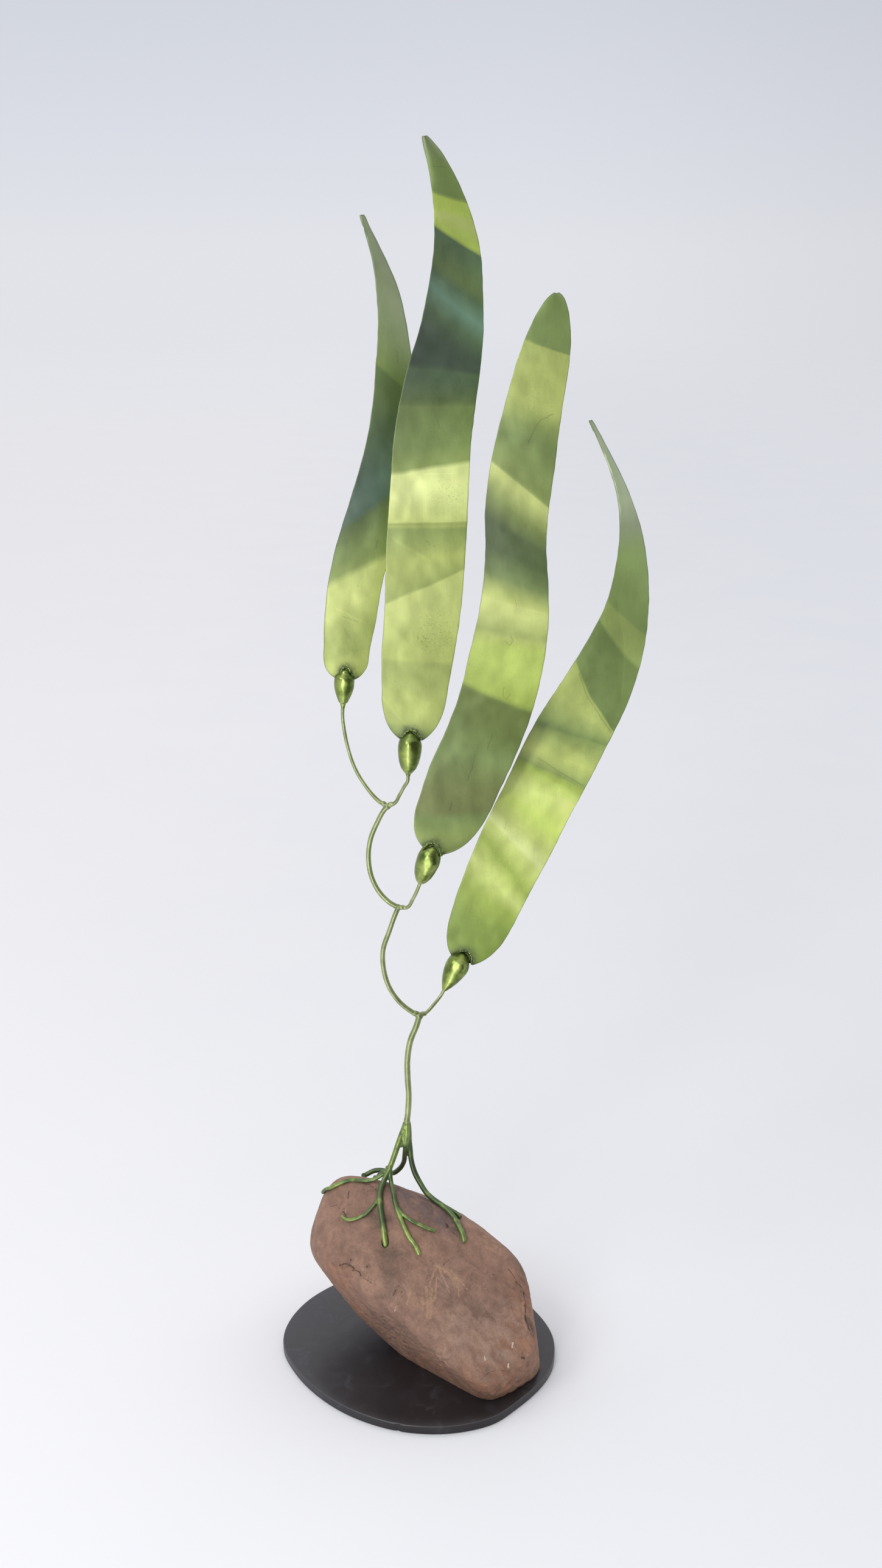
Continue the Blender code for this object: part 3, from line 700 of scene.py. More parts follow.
def makeStone():
    piece = addShape("cube", size=2.0)
    piece.name = "stoneDressed"
    editAll((bpy.ops.mesh.subdivide, {"number_cuts": stone["cuts"]}),
            (bpy.ops.mesh.subdivide, {"number_cuts": 1}),
            (bpy.ops.transform.tosphere, {"value": 1.0}))
    places = readPlaces(piece)
    outward = places / np.linalg.norm(places, axis=1)[:, None]
    places = np.array(stone["middle"]) + outward * roundedReach(outward)[:, None]
    for spot, depth, width in stone["hollows"]:
        places -= outward * (depth * near(places, spot, width))[:, None]
    smooth = places.copy()
    sunk = np.zeros(len(places))
    for depth, width, points in stone["furrows"]:
        sunk = np.maximum(sunk, depth * routeNear(smooth, smoothRoute(points, 1.5), width))
    for spot, depth, width in stone["pits"]:
        sunk = np.maximum(sunk, depth * near(smooth, spot, width))
    for height, width, points in stone["ridges"]:
        sunk -= height * routeNear(smooth, smoothRoute(points, 2.0), width)
    broadSize, broadHeight = stone["broad"]
    scarSize, scarHeight = stone["scars"]
    fineSize, fineHeight = stone["fine"]
    broad = ripple(smooth, broadSize, 1, 3)
    # Worn scars run slantwise down the stone
    slanted = smooth @ np.array(stone["grain"]).T
    scars = 1 - np.abs(ripple(slanted, scarSize, 9, 3)) * 2
    fine = ripple(smooth, fineSize, 2, 2)
    edges = np.array([near(smooth, spot, stone["flakeWidth"])
                      for spot in stone["flaked"]]).max(axis=0)
    rough = (broadHeight * np.clip(broad, -1, 1)
             + scarHeight * np.clip(scars, -1, 1) * (0.6 + edges)
             + fineHeight * np.clip(fine, -1, 1) * (0.6 + 1.2 * edges))
    hollowsAndRidges = np.minimum(-stone["wornIn"] + stone["relief"] * rough - sunk, stone["proudest"])
    places += outward * hollowsAndRidges[:, None]
    writePlaces(piece, places * mm)
    editAll((bpy.ops.mesh.bisect, {"plane_co": (0, 0, stone["seat"] * mm),
                                   "plane_no": (0, 0, 1), "use_fill": True,
                                   "clear_inner": True}))
    say("stone shaped")
    return piece


stonePiece = makeStone()


def surfaceOf(piece):
    places = readPlaces(piece) / mm
    faces = [tuple(face.vertices) for face in piece.data.polygons]
    return BVHTree.FromPolygons([Vector(p) for p in places], faces)


stoneSkin = surfaceOf(stonePiece)

# The holdfast's rods, laid on the stone

holdfast = {
    "step": 3.0, "lift": 0.15, "voxel": 0.48, "smoothing": 4, "fullness": 1.05,
    # The welded webs between neighbouring rods: from one height to another, and how thick
    "webStep": 1.3,
    "webs": [("centre", "loop", 244, 221, 2.2), ("loop", "right", 244, 213, 1.8),
             ("centre", "front", 200, 194, 1.6), ("centre", "left", 199, 194, 1.5)],
    "rods": {
        "loop": {"radius": 2.5, "start": (-14, 27.9, 245.1),
                 "air": [(-14, 27, 237), (-15.5, 28, 222), (-16.5, 33, 208), (-18, 42, 193),
                         (-23, 49, 181), (-30, 53, 174), (-38, 56, 175), (-49, 58, 174),
                         (-56, 57, 171)],
                 "laid": [(-60.5, 54, 166), (-62, 48, 166)]},
        "centre": {"radius": 2.8, "start": (-15.8, 31, 245.1),
                   "air": [(-18, 30.5, 237), (-23, 26.5, 223), (-27, 22, 212),
                           (-31, 18, 202), (-36, 13, 192)],
                   "laid": [(-40, 6, 180), (-40, -6, 170), (-38, -19, 158), (-36, -28, 150)],
                   "sunk": [(-35, -29, 140), (-34, -25, 130)]},
        "right": {"radius": 2.7, "start": (-12.2, 31, 245.1),
                  "air": [(-12, 33, 237), (-12, 34, 225), (-11, 33.5, 212), (-9.5, 32, 199),
                          (-6, 28.5, 188), (0, 23, 178.5), (5.5, 17.5, 172)],
                  "laid": [(14, 9, 166), (24, 2, 161), (32, -5, 156), (38, -12, 151),
                           (42, -18, 145), (44, -24, 139)]},
        "front": {"radius": 2.2, "from": "centre", "at": 202,
                  "air": [(-31, 14, 194), (-30, 10, 187)],
                  "laid": [(-28, 3, 178), (-24, -10, 170), (-18, -21, 159), (-12, -30, 150),
                           (-5, -36, 142), (-1, -41, 136)]},
        "left": {"radius": 2.0, "from": "centre", "at": 201,
                 "air": [(-38, 18, 194), (-46, 18, 188)],
                 "laid": [(-56, 21, 181), (-66, 25, 180), (-75, 28, 178), (-83, 29, 174),
                          (-90, 31, 169), (-97, 36, 163), (-102, 42, 157)]},
        "stub": {"radius": 2.0, "from": "centre", "at": 203,
                 "air": [(-37, 24, 193), (-43, 28, 187)],
                 "laid": [(-46, 31, 180), (-49, 33, 178)]},
        "curl": {"radius": 1.8, "from": "centre", "at": 178, "air": [],
                 "laid": [(-48, -4, 168), (-56, -7, 161), (-66, -7, 156), (-75, -4, 153),
                          (-80, 1, 154)]},
        "twig": {"radius": 1.8, "from": "front", "at": 173, "air": [],
                 "laid": [(-17, -15, 165), (-11, -18, 161), (-3, -20, 158), (7, -22, 154),
                          (15, -22, 151)]},
        "back": {"radius": 2.0, "from": "right", "at": 168, "air": [],
                 "laid": [(24, 8, 161), (30, 5.5, 158.5), (36, 2, 155), (39.5, -2.5, 151.5)]},
    },
    # Where the paint is lighter or darker, as painted highlights and painted shade on the rods and
    # lighter wear at some root ends: place, width, amount
    "glows": [((-36, -30, 148), 15, 0.32), ((0, -42, 137), 17, 0.30),
              ((-10, -30, 152), 14, 0.10), ((13, -22, 152), 14, 0.16),
              ((-72, -5, 155), 14, 0.16), ((-84, 29, 173), 20, 0.16),
              ((44, -24, 139), 11, 0.06), ((-14, 29, 240), 14, 0.16),
              ((-26, 22, 212), 14, 0.10), ((-30, 14, 196), 12, 0.04),
              ((-20, 42, 190), 16, -0.22), ((-38, 56, 175), 16, -0.25),
              ((-9, 32, 198), 16, -0.22), ((-38, -4, 172), 14, -0.12),
              ((5, 18, 172), 14, -0.10), ((30, 6, 158), 12, -0.2)],
    # Weld lumps: place, radius, stretch
    "welds": [((-18, 29, 235), 2.9, (1, 1, 1.5)), ((-13.5, 30, 232), 2.7, (1, 1, 1.6)),
              ((-21, 27, 226), 2.3, (1, 1, 1.3)), ((-16, 28.5, 241), 3.0, (1, 1, 1.2)),
              ((-31.5, 16.5, 201), 2.5, (1, 1, 1.4)), ((-37, 16, 197), 2.0, (1.3, 1, 1)),
              ((-41, -1, 175), 2.2, (1.4, 1, 1)), ((-25, -9, 172.5), 1.8, (1.2, 1, 1.2)),
              ((13, 9.5, 168.5), 1.9, (1.3, 1, 1)), ((-34, 20.5, 199), 2.3, (1, 1, 1))],
}


def pushedOut(place, reach, exactly=False):
    nearest, normal, _, _ = stoneSkin.find_nearest(place)
    height = (place - nearest).dot(normal)
    return nearest + normal * reach if exactly or height < reach else place


def holdfastRoutes():
    routes = {}
    for name, spec in holdfast["rods"].items():
        reach = spec["radius"] + holdfast["lift"]
        start = Vector(spec["start"]) if "start" in spec else min(
            routes[spec["from"]], key=lambda place: abs(place.z - spec["at"]))
        laid = [pushedOut(Vector(p), reach, True) for p in spec["laid"]]
        route = smoothRoute([start, *spec["air"], *laid], holdfast["step"])
        for _ in range(2):
            route = [pushedOut(place, reach) for place in route]
        if "sunk" in spec:
            route = smoothRoute(route[::3] + [Vector(p) for p in spec["sunk"]],
                                holdfast["step"])
        routes[name] = route
    return routes


rootRoutes = holdfastRoutes()


def placeAtHeight(route, height):
    # Where a rod passes a height, on its first way down
    for upper, lower in zip(route, route[1:]):
        if lower.z <= height:
            share = (upper.z - height) / max(1e-6, upper.z - lower.z)
            return upper.lerp(lower, min(1.0, max(0.0, share)))
    return route[-1]


def makeHoldfast():
    parts = []
    for name, route in rootRoutes.items():
        radius = holdfast["rods"][name]["radius"]
        start = [0.75, 1.0] if "start" in holdfast["rods"][name] else [0.95, 1.0]
        shares = start + [1.03, 0.98, 1.04, 0.97, 1.02, 1.0, 0.98, 1.0, 0.96]
        radius *= holdfast["fullness"]
        parts.append(rod("root", route, [radius * s for s in shares]))
    for place, radius, stretch in holdfast["welds"]:
        parts.append(blob(place, radius, stretch))
    for first, second, top, bottom, thick in holdfast["webs"]:
        for height in np.arange(bottom, top, holdfast["webStep"]):
            ends = [placeAtHeight(rootRoutes[name], height) for name in (first, second)]
            for share in (0.25, 0.5, 0.75):
                parts.append(blob(ends[0].lerp(ends[1], share), thick, detail=2))
    piece = joinPieces(parts, "holdfastDressed")
    melt(piece, holdfast["voxel"], holdfast["smoothing"])
    say("holdfast made")
    return piece


holdfastPiece = makeHoldfast()

# The forked stem

upperFork, middleFork, lowerFork = (-31, 34, 584), (-21, 20, 485), (-1, 29, 365)

stem = {
    "step": 3.0, "voxel": 0.48, "smoothing": 6,
    "rods": [
        (3.1, [(-14, 30, 244.6), (-14, 30, 246), (-13, 30, 256), (-12, 30, 276), (-13, 29, 297),
               (-13, 28, 318), (-10, 28, 338), (-3, 29, 357), lowerFork]),
        (2.5, [lowerFork, (-9, 29, 370), (-19, 28, 379), (-31, 25, 399), (-36, 22, 420),
               (-36, 20, 441), (-30, 19, 460), (-25, 19, 475), middleFork]),
        (2.5, [middleFork, (-29, 22, 489), (-38, 25, 497), (-47, 30, 513), (-50, 34, 531),
               (-48, 36, 549), (-41, 36, 567), (-32, 34, 583), upperFork]),
    ],
    "knuckles": [(lowerFork, 3.7, (1.1, 1, 1.1)), (middleFork, 3.0, (1.1, 1, 1.1)),
                 (upperFork, 3.0, (1.1, 1, 1.1)),
                 ((-14, 30, 248), 3.3, (1, 1, 1.6)), ((-17, 18.3, 485.7), 2.3, (1.8, 1.1, 1)),
                 ((3, 31, 366.5), 2.5, (1.6, 1, 1)), ((-5, 29, 368), 2.8, (1.5, 1, 1)),
                 ((-27.5, 33, 587), 2.1, (1.5, 1, 1)), ((-35, 35, 587), 2.1, (1.5, 1, 1))],
}

floats = {
    "branchRadius": 1.8, "voxel": 0.42, "smoothing": 7, "oval": 0.02, "threeSided": 0.012,
    # Painted highlight and shade round the bulb: how much lighter, turn from the front to the
    # right, how wide
    "glows": [(-0.12, 52, 28), (-0.06, -64, 24), (0.22, -16, 17)],
    # Outline: share of the way up and share of the radius. Swells: share of the way up, turn
    # from the front to the right, how far out in mm, and how long and how wide they are
    "1": {"neck": (-74, 60, 675), "nub": (-71, 58, 714), "radius": 9.9,
          "branch": [upperFork, (-37, 36, 587), (-53, 43, 603), (-63, 49, 619),
                     (-69, 54, 636), (-73, 58, 655)],
          "outline": [(0.00, 0.20), (0.06, 0.22), (0.11, 0.28), (0.15, 0.34), (0.17, 0.46),
                      (0.23, 0.56), (0.30, 0.68), (0.39, 0.82), (0.47, 0.91), (0.55, 0.97),
                      (0.63, 1.00), (0.71, 1.00), (0.78, 0.97), (0.83, 0.90), (0.87, 0.76),
                      (0.90, 0.56), (0.93, 0.42), (0.96, 0.36), (0.985, 0.26), (1.00, 0.0)],
          "swells": [(0.72, 30, 0.56, 0.08, 22), (0.45, -28, -0.22, 0.16, 14),
                     (0.62, -20, 0.22, 0.10, 10), (0.30, -30, 0.22, 0.08, 16),
                     (0.55, 60, 0.25, 0.20, 30)]},
    "2": {"neck": (-10.5, 16, 620), "nub": (-7.5, 10, 665), "radius": 11.4,
          "branch": [upperFork, (-24, 32, 588), (-19, 26, 598), (-14, 20, 609)],
          "outline": [(0.00, 0.18), (0.04, 0.21), (0.07, 0.27), (0.133, 0.48), (0.20, 0.66),
                      (0.333, 0.84), (0.467, 0.94), (0.60, 0.99), (0.68, 0.99), (0.76, 0.96),
                      (0.82, 0.89), (0.87, 0.77), (0.915, 0.58), (0.95, 0.40), (0.98, 0.26),
                      (1.00, 0.0)],
          "swells": [(0.80, -8, 0.93, 0.10, 26), (0.74, 62, 0.62, 0.10, 24),
                     (0.78, 28, -0.37, 0.10, 16), (0.50, 80, 0.31, 0.25, 30)]},
    "3": {"neck": (0.5, 4, 516), "nub": (13.5, -10, 558), "radius": 11.3,
          "branch": [middleFork, (-12.5, 17, 486), (-6.5, 11, 497)],
          "outline": [(0.00, 0.18), (0.03, 0.24), (0.06, 0.40), (0.12, 0.56), (0.26, 0.80),
                      (0.42, 0.94), (0.58, 1.00), (0.70, 1.00), (0.79, 0.94), (0.86, 0.80),
                      (0.92, 0.58), (0.97, 0.34), (1.00, 0.0)],
          "swells": [(0.74, 24, 0.68, 0.09, 18), (0.72, -8, -0.43, 0.10, 14),
                     (0.66, 62, 0.56, 0.12, 18), (0.76, -34, 0.5, 0.10, 20),
                     (0.45, 40, -0.25, 0.20, 16)]},
    "4": {"neck": (23.5, 44, 386), "nub": (44, 50, 424), "radius": 11.7,
          "branch": [lowerFork, (6, 33, 367), (14, 38, 374)],
          "outline": [(0.00, 0.18), (0.03, 0.23), (0.08, 0.34), (0.16, 0.50), (0.30, 0.73),
                      (0.46, 0.91), (0.60, 1.00), (0.70, 1.00), (0.79, 0.94), (0.87, 0.76),
                      (0.93, 0.50), (0.97, 0.32), (1.00, 0.0)],
          "swells": [(0.76, 14, 0.68, 0.09, 15), (0.70, 40, -0.56, 0.12, 14),
                     (0.66, 66, 0.56, 0.14, 16), (0.68, -16, -0.31, 0.10, 14),
                     (0.72, -42, 0.5, 0.12, 18)]},
}


def makeStem():
    parts = [rod("stemRod", smoothRoute(route, stem["step"]),
                 [radius * s for s in (1.0, 1.02, 0.98, 1.03, 0.99, 1.02, 0.98, 1.0)])
             for radius, route in stem["rods"]]
    for number in "1234":
        spec = floats[number]
        neck, nub = Vector(spec["neck"]), Vector(spec["nub"])
        up = (nub - neck).normalized()
        route = smoothRoute([*spec["branch"], neck - up * 5, neck + up * 1.0], stem["step"])
        parts.append(rod("branch", route, [floats["branchRadius"] * s for s in
                                           (1.25, 1.1, 1.0, 1.02, 0.97, 1.0, 0.98, 1.02)]))
    for place, radius, stretch in stem["knuckles"]:
        parts.append(blob(place, radius, stretch))
    draw = random.Random(11)
    for place, radius, stretch in stem["knuckles"]:
        for _ in range(3):
            away = Vector((draw.gauss(0, 1), draw.gauss(0, 1), draw.gauss(0, 1))).normalized()
            parts.append(blob(Vector(place) + away * radius * 0.8, draw.uniform(0.6, 1.0),
                              detail=2))
    piece = joinPieces(parts, "stemDressed")
    melt(piece, stem["voxel"], stem["smoothing"])
    say("stem made")
    return piece


stemPiece = makeStem()


def floatFrame(spec):
    neck, nub = Vector(spec["neck"]), Vector(spec["nub"])
    up = (nub - neck).normalized()
    front = Vector((0, -1, 0))
    front = (front - up * front.dot(up)).normalized()
    side = front.cross(up) * -1
    if side.x < 0:
        side = -side
    return neck, nub, up, front, side


def makeFloat(number):
    # A ball drawn out to the bulb's outline, with the maker's soft swells
    spec = floats[number]
    neck, nub, up, front, side = floatFrame(spec)
    length = (nub - neck).length
    piece = addShape("uv_sphere", segments=96, ring_count=96, radius=1.0)
    piece.name = piece.data.name = "float" + number + "Dressed"
    places = readPlaces(piece)
    share = 1 - np.arccos(np.clip(places[:, 2], -1, 1)) / math.pi
    radius = np.interp(share, *zip(*spec["outline"])) * spec["radius"]
    turn = np.arctan2(places[:, 1], places[:, 0])
    poles = np.abs(places[:, 2]) > 0.9999
    radius = radius * (1 + floats["oval"] * np.sin(2 * turn + 0.8)
                       + floats["threeSided"] * np.sin(3 * turn))
    for along, angle, rise, tall, wide in spec["swells"]:
        gap = (np.degrees(turn) - angle + 180) % 360 - 180
        radius = radius + rise * np.exp(-((share - along) / tall) ** 2 - (gap / wide) ** 2)
    radius[poles] = 0
    across = np.outer(np.cos(turn) * radius, front) + np.outer(np.sin(turn) * radius, side)
    places = np.array(neck) + np.outer(share * length, up) + across
    writePlaces(piece, places * mm)
    editAll((bpy.ops.mesh.normals_make_consistent, {"inside": False}))
    melt(piece, floats["voxel"], floats["smoothing"])
    return piece


def floatPaintedLight(spec, places):
    # Painted shade to the right and far left, and a painted highlight a little left of the front
    neck, _, _, front, side = floatFrame(spec)
    away = places - np.array(neck)
    turn = np.degrees(np.arctan2(away @ np.array(side), away @ np.array(front)))
    glow = np.zeros(len(places))
    for amount, angle, wide in floats["glows"]:
        glow += amount * np.exp(-((turn - angle) / wide) ** 2)
    return glow


floatPieces = {number: makeFloat(number) for number in "1234"}
say("floats made")

# The blades

# Colours of the candy paint and of its painted reflections, from deepest to brightest
paintAndReflection = {
    "pale": srgb(220, 230, 152), "bright": srgb(203, 214, 130), "light": srgb(184, 196, 112),
    "limePale": srgb(206, 220, 128), "lime": srgb(190, 209, 106), "spring": srgb(164, 183, 86),
    "leaf": srgb(138, 160, 74), "mid": srgb(168, 181, 104), "soft": srgb(144, 161, 92),
    "green": srgb(124, 143, 84), "moss": srgb(114, 132, 76), "olive": srgb(106, 122, 62),
    "dull": srgb(119, 128, 75), "shade": srgb(94, 112, 68), "dark": srgb(84, 104, 74),
    "deep": srgb(70, 85, 68), "teal": srgb(104, 134, 111), "tealDark": srgb(86, 109, 91),
    "grey": srgb(130, 140, 106), "greyPale": srgb(158, 170, 130),
}

blades = {
    "thick": 1.5, "rim": 0.3, "cell": 1.45, "camber": 2.0, "baseFlat": 5.0, "tipFlat": 2.0,
    # The sheet's dents and its edges' waves: size and height; and its bend at a sharp change
    "dents": (26.0, 0.7), "edgeWaves": (9.0, 0.35), "crease": 0.5, "sharp": 2,
    "1": {"baseRound": 22, "tipRound": 3,
          # Painted light and shade over the sheet: height, gain, and gain left to right
          "light": [(703, 0.87, 0.24), (780, 0.86, 0.26), (845, 0.82, 0.30), (900, 1.08, 0.46),
                    (950, 1.18, 0.20), (985, 1.40, 0.0), (1010, 1.85, 0.0), (1045, 1.85, -0.08),
                    (1075, 1.50, -0.10), (1100, 1.05, -0.10), (1128, 1.0, 0.0)],
          # Patches of painted shade and highlight: how much lighter or darker, how soft in mm,
          # and its corners as height and place across from -1 to 1
          "patches": [(0.07, 8, [(745, -0.1), (775, 1.1), (720, 1.1), (712, -0.1)])],
          "dark": [(0.9, [(792, 0.12), (792.4, 0.13)]), (0.5, [(764, -0.3), (758, 0.3)]),
                   (0.4, [(752, -0.2), (745, 0.0)]), (0.5, [(1010, 0.2), (1000, 0.25)]),
                   (0.5, [(836, 0.4), (829, 0.42)])],
          "pale": [(0.9, [(771, -0.58), (762, 0.16), (758, 0.56)]),
                   (0.6, [(738, -0.1), (730, 0.05)]), (0.6, [(748, 0.5), (741, 0.4)]),
                   (0.8, [(727, -0.75), (718, -0.72)])],
          "pitted": [(752, 0.0, 16, 0.6, 0.25)],
          "outline": [(703, -70, 23), (724, -70, 22), (759, -66, 25), (794, -61, 26),
                      (829, -52, 27), (864, -42, 26), (898, -33, 24), (932, -26, 21.5),
                      (966, -23, 18.5), (998, -22, 16.5), (1030, -23, 13), (1061, -27, 10),
                      (1093, -36, 5.4), (1115, -45, 3.0), (1128, -50, 1.9)],
          "depth": [(703, 58), (780, 72), (880, 68), (970, 56), (1060, 58), (1128, 66)],
          "twist": [(703, 0), (900, 6), (1000, 14), (1060, 17), (1093, 15), (1115, 8),
                    (1128, 3)],
          # Tones up the blade, partly paint and partly painted reflections: height at the left and
          # right edge, and the tone there, or the tones below and above with how soft their change
          # is
          "bands": [(690, 690, "spring"), (718, 730, "light", "mid", 9), (738, 752, "mid"),
                    (762, 786, "bright"), (792, 824, "bright", "soft", 9), (822, 862, "green"),
                    (846, 892, "shade", "tealDark", 8), (878, 925, "tealDark"),
                    (925, 945, "dark"), (968, 962, "shade"), (1000, 970, "shade", "moss", 3),
                    (1045, 1040, "grey"), (1085, 1085, "grey"), (1135, 1135, "greyPale")]},
    "2": {"baseRound": 45, "tipRound": 18,
          "light": [(655, 0.84, 0.28), (700, 0.84, 0.26), (800, 0.86, 0.26), (830, 0.97, 0.32),
                    (870, 0.94, 0.30), (940, 1.06, 0.38), (970, 0.96, 0.30), (1010, 1.06, 0.54),
                    (1060, 1.24, 0.46), (1100, 1.14, 0.32), (1150, 1.28, 0.20),
                    (1192, 1.05, 0.10)],
          "patches": [(-0.09, 2.5, [(700, -1.2), (667, 0.02), (640, 0.0), (640, -1.2)]),
                      (0.07, 8, [(700, 0.1), (700, 0.8), (665, 0.8), (665, 0.1)]),
                      (0.10, 8, [(902, -0.5), (902, 0.9), (884, 0.9), (884, -0.5)]),
                      (0.22, 8, [(1098, 0.45), (1096, 1.2), (1062, 1.2), (1066, 0.6)]),
                      (-0.08, 10, [(1150, -1), (1150, 1), (1128, 1), (1134, -1)])],
          "dark": [(1.3, [(841, 0.01), (840.6, 0.03)]), (0.8, [(839, 0.07), (838.7, 0.08)]),
                   (1.0, [(837, 0.19), (836.6, 0.21)]), (0.5, [(951, 0.1), (944, 0.14)]),
                   (0.6, [(712, -0.6), (711.6, -0.6)]),
                   (0.5, [(1166, -0.5), (1165, 0.5)])],
          "pale": [(1.2, [(698, -0.98), (680, -0.5), (667, 0.02), (661, 0.06)]),
                   (2.4, [(844, -0.84), (834, -0.4), (824, 0.08)]),
                   (0.7, [(690, 0.2), (684, 0.28)]), (0.7, [(682, 0.1), (677, 0.16)]),
                   (0.6, [(693, 0.42), (688, 0.4)]), (0.6, [(903, -0.2), (903, 0.6)])],
          "pitted": [(757, 0.30, 19, 0.55, 1.0), (743, 0.65, 14, 0.35, 0.7),
                     (886, 0.50, 12, 0.45, 0.9), (700, -0.5, 22, 0.3, 0.35),
                     (985, 0.0, 12, 0.6, 0.3), (940, 0.2, 18, 0.6, 0.25)],
          "outline": [(655, -7, 31), (700, -4, 31), (734, -1, 34), (768, 3, 35.5),
                      (835, 7, 37), (902, 11, 36), (933, 13, 35.5), (968, 18, 34.5),
                      (1000, 24, 32.5), (1031, 30, 28.5), (1062, 33, 24.5), (1093, 34.5, 21),
                      (1122, 31.5, 17), (1152, 24, 12.2), (1175, 15, 7.9), (1192, 6, 4.6)],
          "depth": [(655, 10), (760, 26), (880, 34), (1000, 20), (1100, 12), (1192, 22)],
          "twist": [(655, -4), (900, 4), (1100, 8), (1192, 3)],
          "bands": [(640, 640, "mid"), (672, 664, "soft", "mid", 6), (690, 684, "light"),
                    (716, 712, "mid"), (732, 728, "mid", "light", 4), (748, 746, "light"),
                    (770, 780, "bright"), (782, 815, "bright", "mid", 1.6),
                    (824, 832, "light", "mid", 8), (853, 853, "soft", "mid", 3),
                    (858, 859, "mid", "bright", 1.6), (884, 886, "pale"),
                    (902, 914, "pale", "soft", 4.0), (924, 932, "green"), (955, 956, "moss"),
                    (966, 966, "moss", "shade", 6), (988, 984, "dark"),
                    (1001, 992, "dark", "deep", 5), (1034, 1001, "deep"), (1053, 1014, "dark"),
                    (1070, 1032, "teal"), (1086, 1055, "dark", "shade", 8), (1111, 1086, "dark"),
                    (1118, 1093, "dark", "spring", 4.0), (1130, 1122, "mid", "spring", 5),
                    (1145, 1136, "spring", "moss", 2.5), (1165, 1165, "moss"),
                    (1200, 1200, "grey")]},
    "3": {"baseRound": 50, "tipRound": 60,
          "light": [(550, 0.95, 0.24), (690, 0.95, 0.26), (730, 0.86, 0.26), (780, 0.82, 0.30),
                    (800, 0.80, 0.24), (835, 0.72, 0.46), (860, 0.66, 0.48), (890, 0.74, 0.44),
                    (930, 0.92, 0.26), (960, 0.95, 0.34), (1002, 1.05, 0.30), (1030, 1.30, 0.26),
                    (1062, 1.40, 0.20)],
          "patches": [(-0.06, 8, [(950, 0.0), (942, 0.95), (930, 1.1), (932, -0.1)]),
                      (-0.10, 9, [(928, 0.55), (928, 1.1), (890, 1.1), (896, 0.6)]),
                      (0.08, 8, [(596, -0.9), (580, 0.95), (556, 0.9), (556, -0.9)]),
                      (-0.06, 12, [(672, -1.1), (655, -0.1), (610, -0.1), (600, -1.1)])],
          "dark": [(0.8, [(960, 0.70), (955, 0.32), (947, 0.16), (935, 0.06)]),
                   (0.5, [(938, 0.0), (938, 0.12)]), (1.1, [(734, -0.94), (733, -0.93)]),
                   (0.5, [(762, -0.02), (758, 0.08), (753, 0.02), (757, -0.14)]),
                   (0.6, [(712, 0.10), (704, 0.12), (701, 0.24), (706, 0.3)]),
                   (0.7, [(646, -0.02), (633, 0.06), (621, 0.06)]),
                   (1.0, [(593, -0.1), (600, -0.11)]), (0.4, [(799, -0.02), (791, 0.06)]),
                   (0.7, [(666, 0.2), (652, 0.22)])],
          "pale": [(0.7, [(644, 0.02), (634, 0.1), (622, 0.1)]),
                   (0.5, [(764, 0.04), (757, 0.14), (751, 0.04)]),
                   (0.5, [(710, 0.14), (702, 0.18)]), (0.5, [(798, 0.04), (790, 0.1)]),
                   (0.5, [(952, 0.26), (944, 0.1)])],
          "pitted": [(975, 0.2, 14, 0.6, 0.35), (600, 0.1, 20, 0.6, 0.35),
                     (640, 0.0, 18, 0.4, 0.3), (735, -0.7, 20, 0.3, 0.3)],
          "outline": [(550, 21, 37), (581, 28.5, 36.5), (598, 34.5, 36.5), (633, 48, 38.5),
                      (670, 63, 37.5), (706, 74, 36), (741, 81, 35), (776, 86, 32.5),
                      (810, 88, 29.5), (842, 88, 27.5), (874, 88.5, 28.5), (907, 92, 29),
                      (939, 96.5, 27.5), (971, 102.5, 25.5), (1002, 109, 23.5),
                      (1032, 115, 21), (1062, 120.5, 19.5)],
          "depth": [(550, -9), (640, 2), (730, -6), (800, -16), (880, -8), (960, -14),
                    (1062, -5)],
          "twist": [(550, 4), (800, -6), (1062, 6)],
          "bands": [(540, 540, "soft"), (570, 568, "soft"), (588, 588, "green", "dull", 6),
                    (610, 612, "dull"), (652, 636, "green"), (688, 660, "olive"),
                    (715, 688, "olive", "spring", 5), (742, 724, "lime"), (754, 746, "lime"),
                    (768, 756, "light", "mid", 5), (786, 778, "bright"),
                    (802, 784, "bright", "light", 5), (823, 801, "green"), (845, 822, "shade"),
                    (869, 837, "shade"), (891, 851, "soft"), (912, 871, "bright"),
                    (920, 878, "bright", "soft", 3), (945, 930, "green"), (960, 944, "soft"),
                    (980, 958, "light"), (1003, 998, "light"), (1024, 1010, "mid", "green", 2.0),
                    (1070, 1070, "green")]},
    "4": {"baseRound": 48, "tipRound": 3,
          "light": [(412, 0.95, 0.30), (470, 0.98, 0.36), (520, 1.05, 0.34), (560, 1.20, 0.34),
                    (620, 1.28, 0.30), (660, 1.42, 0.26), (700, 1.60, 0.22), (726, 1.60, 0.12),
                    (752, 1.38, 0.0), (778, 1.60, 0.04), (800, 1.62, 0.0), (860, 1.50, 0.0),
                    (900, 1.30, 0.0), (949, 1.20, 0.0)],
          "patches": [(-0.09, 2.5, [(714, -0.66), (653, 0.92), (688, 0.78), (741, 0.32),
                                    (791, -0.60)]),
                      (-0.30, 3.5, [(665, -1.1), (664, -0.68), (630, -0.66), (592, -0.74),
                                    (575, -1.1)]),
                      (-0.12, 4, [(672, -0.88), (638, 0.72), (626, 0.72), (659, -0.92)]),
                      (-0.14, 3, [(627, -0.52), (594, 1.1), (583, 1.1), (616, -0.5)]),
                      (0.06, 10, [(612, 0.2), (600, 1.1), (545, 1.1), (545, 0.0)]),
                      (0.12, 9, [(512, -0.5), (506, 0.3), (492, 0.3), (496, -0.5)]),
                      (-0.10, 6, [(528, 0.3), (516, 1.1), (502, 1.1), (508, 0.2)]),
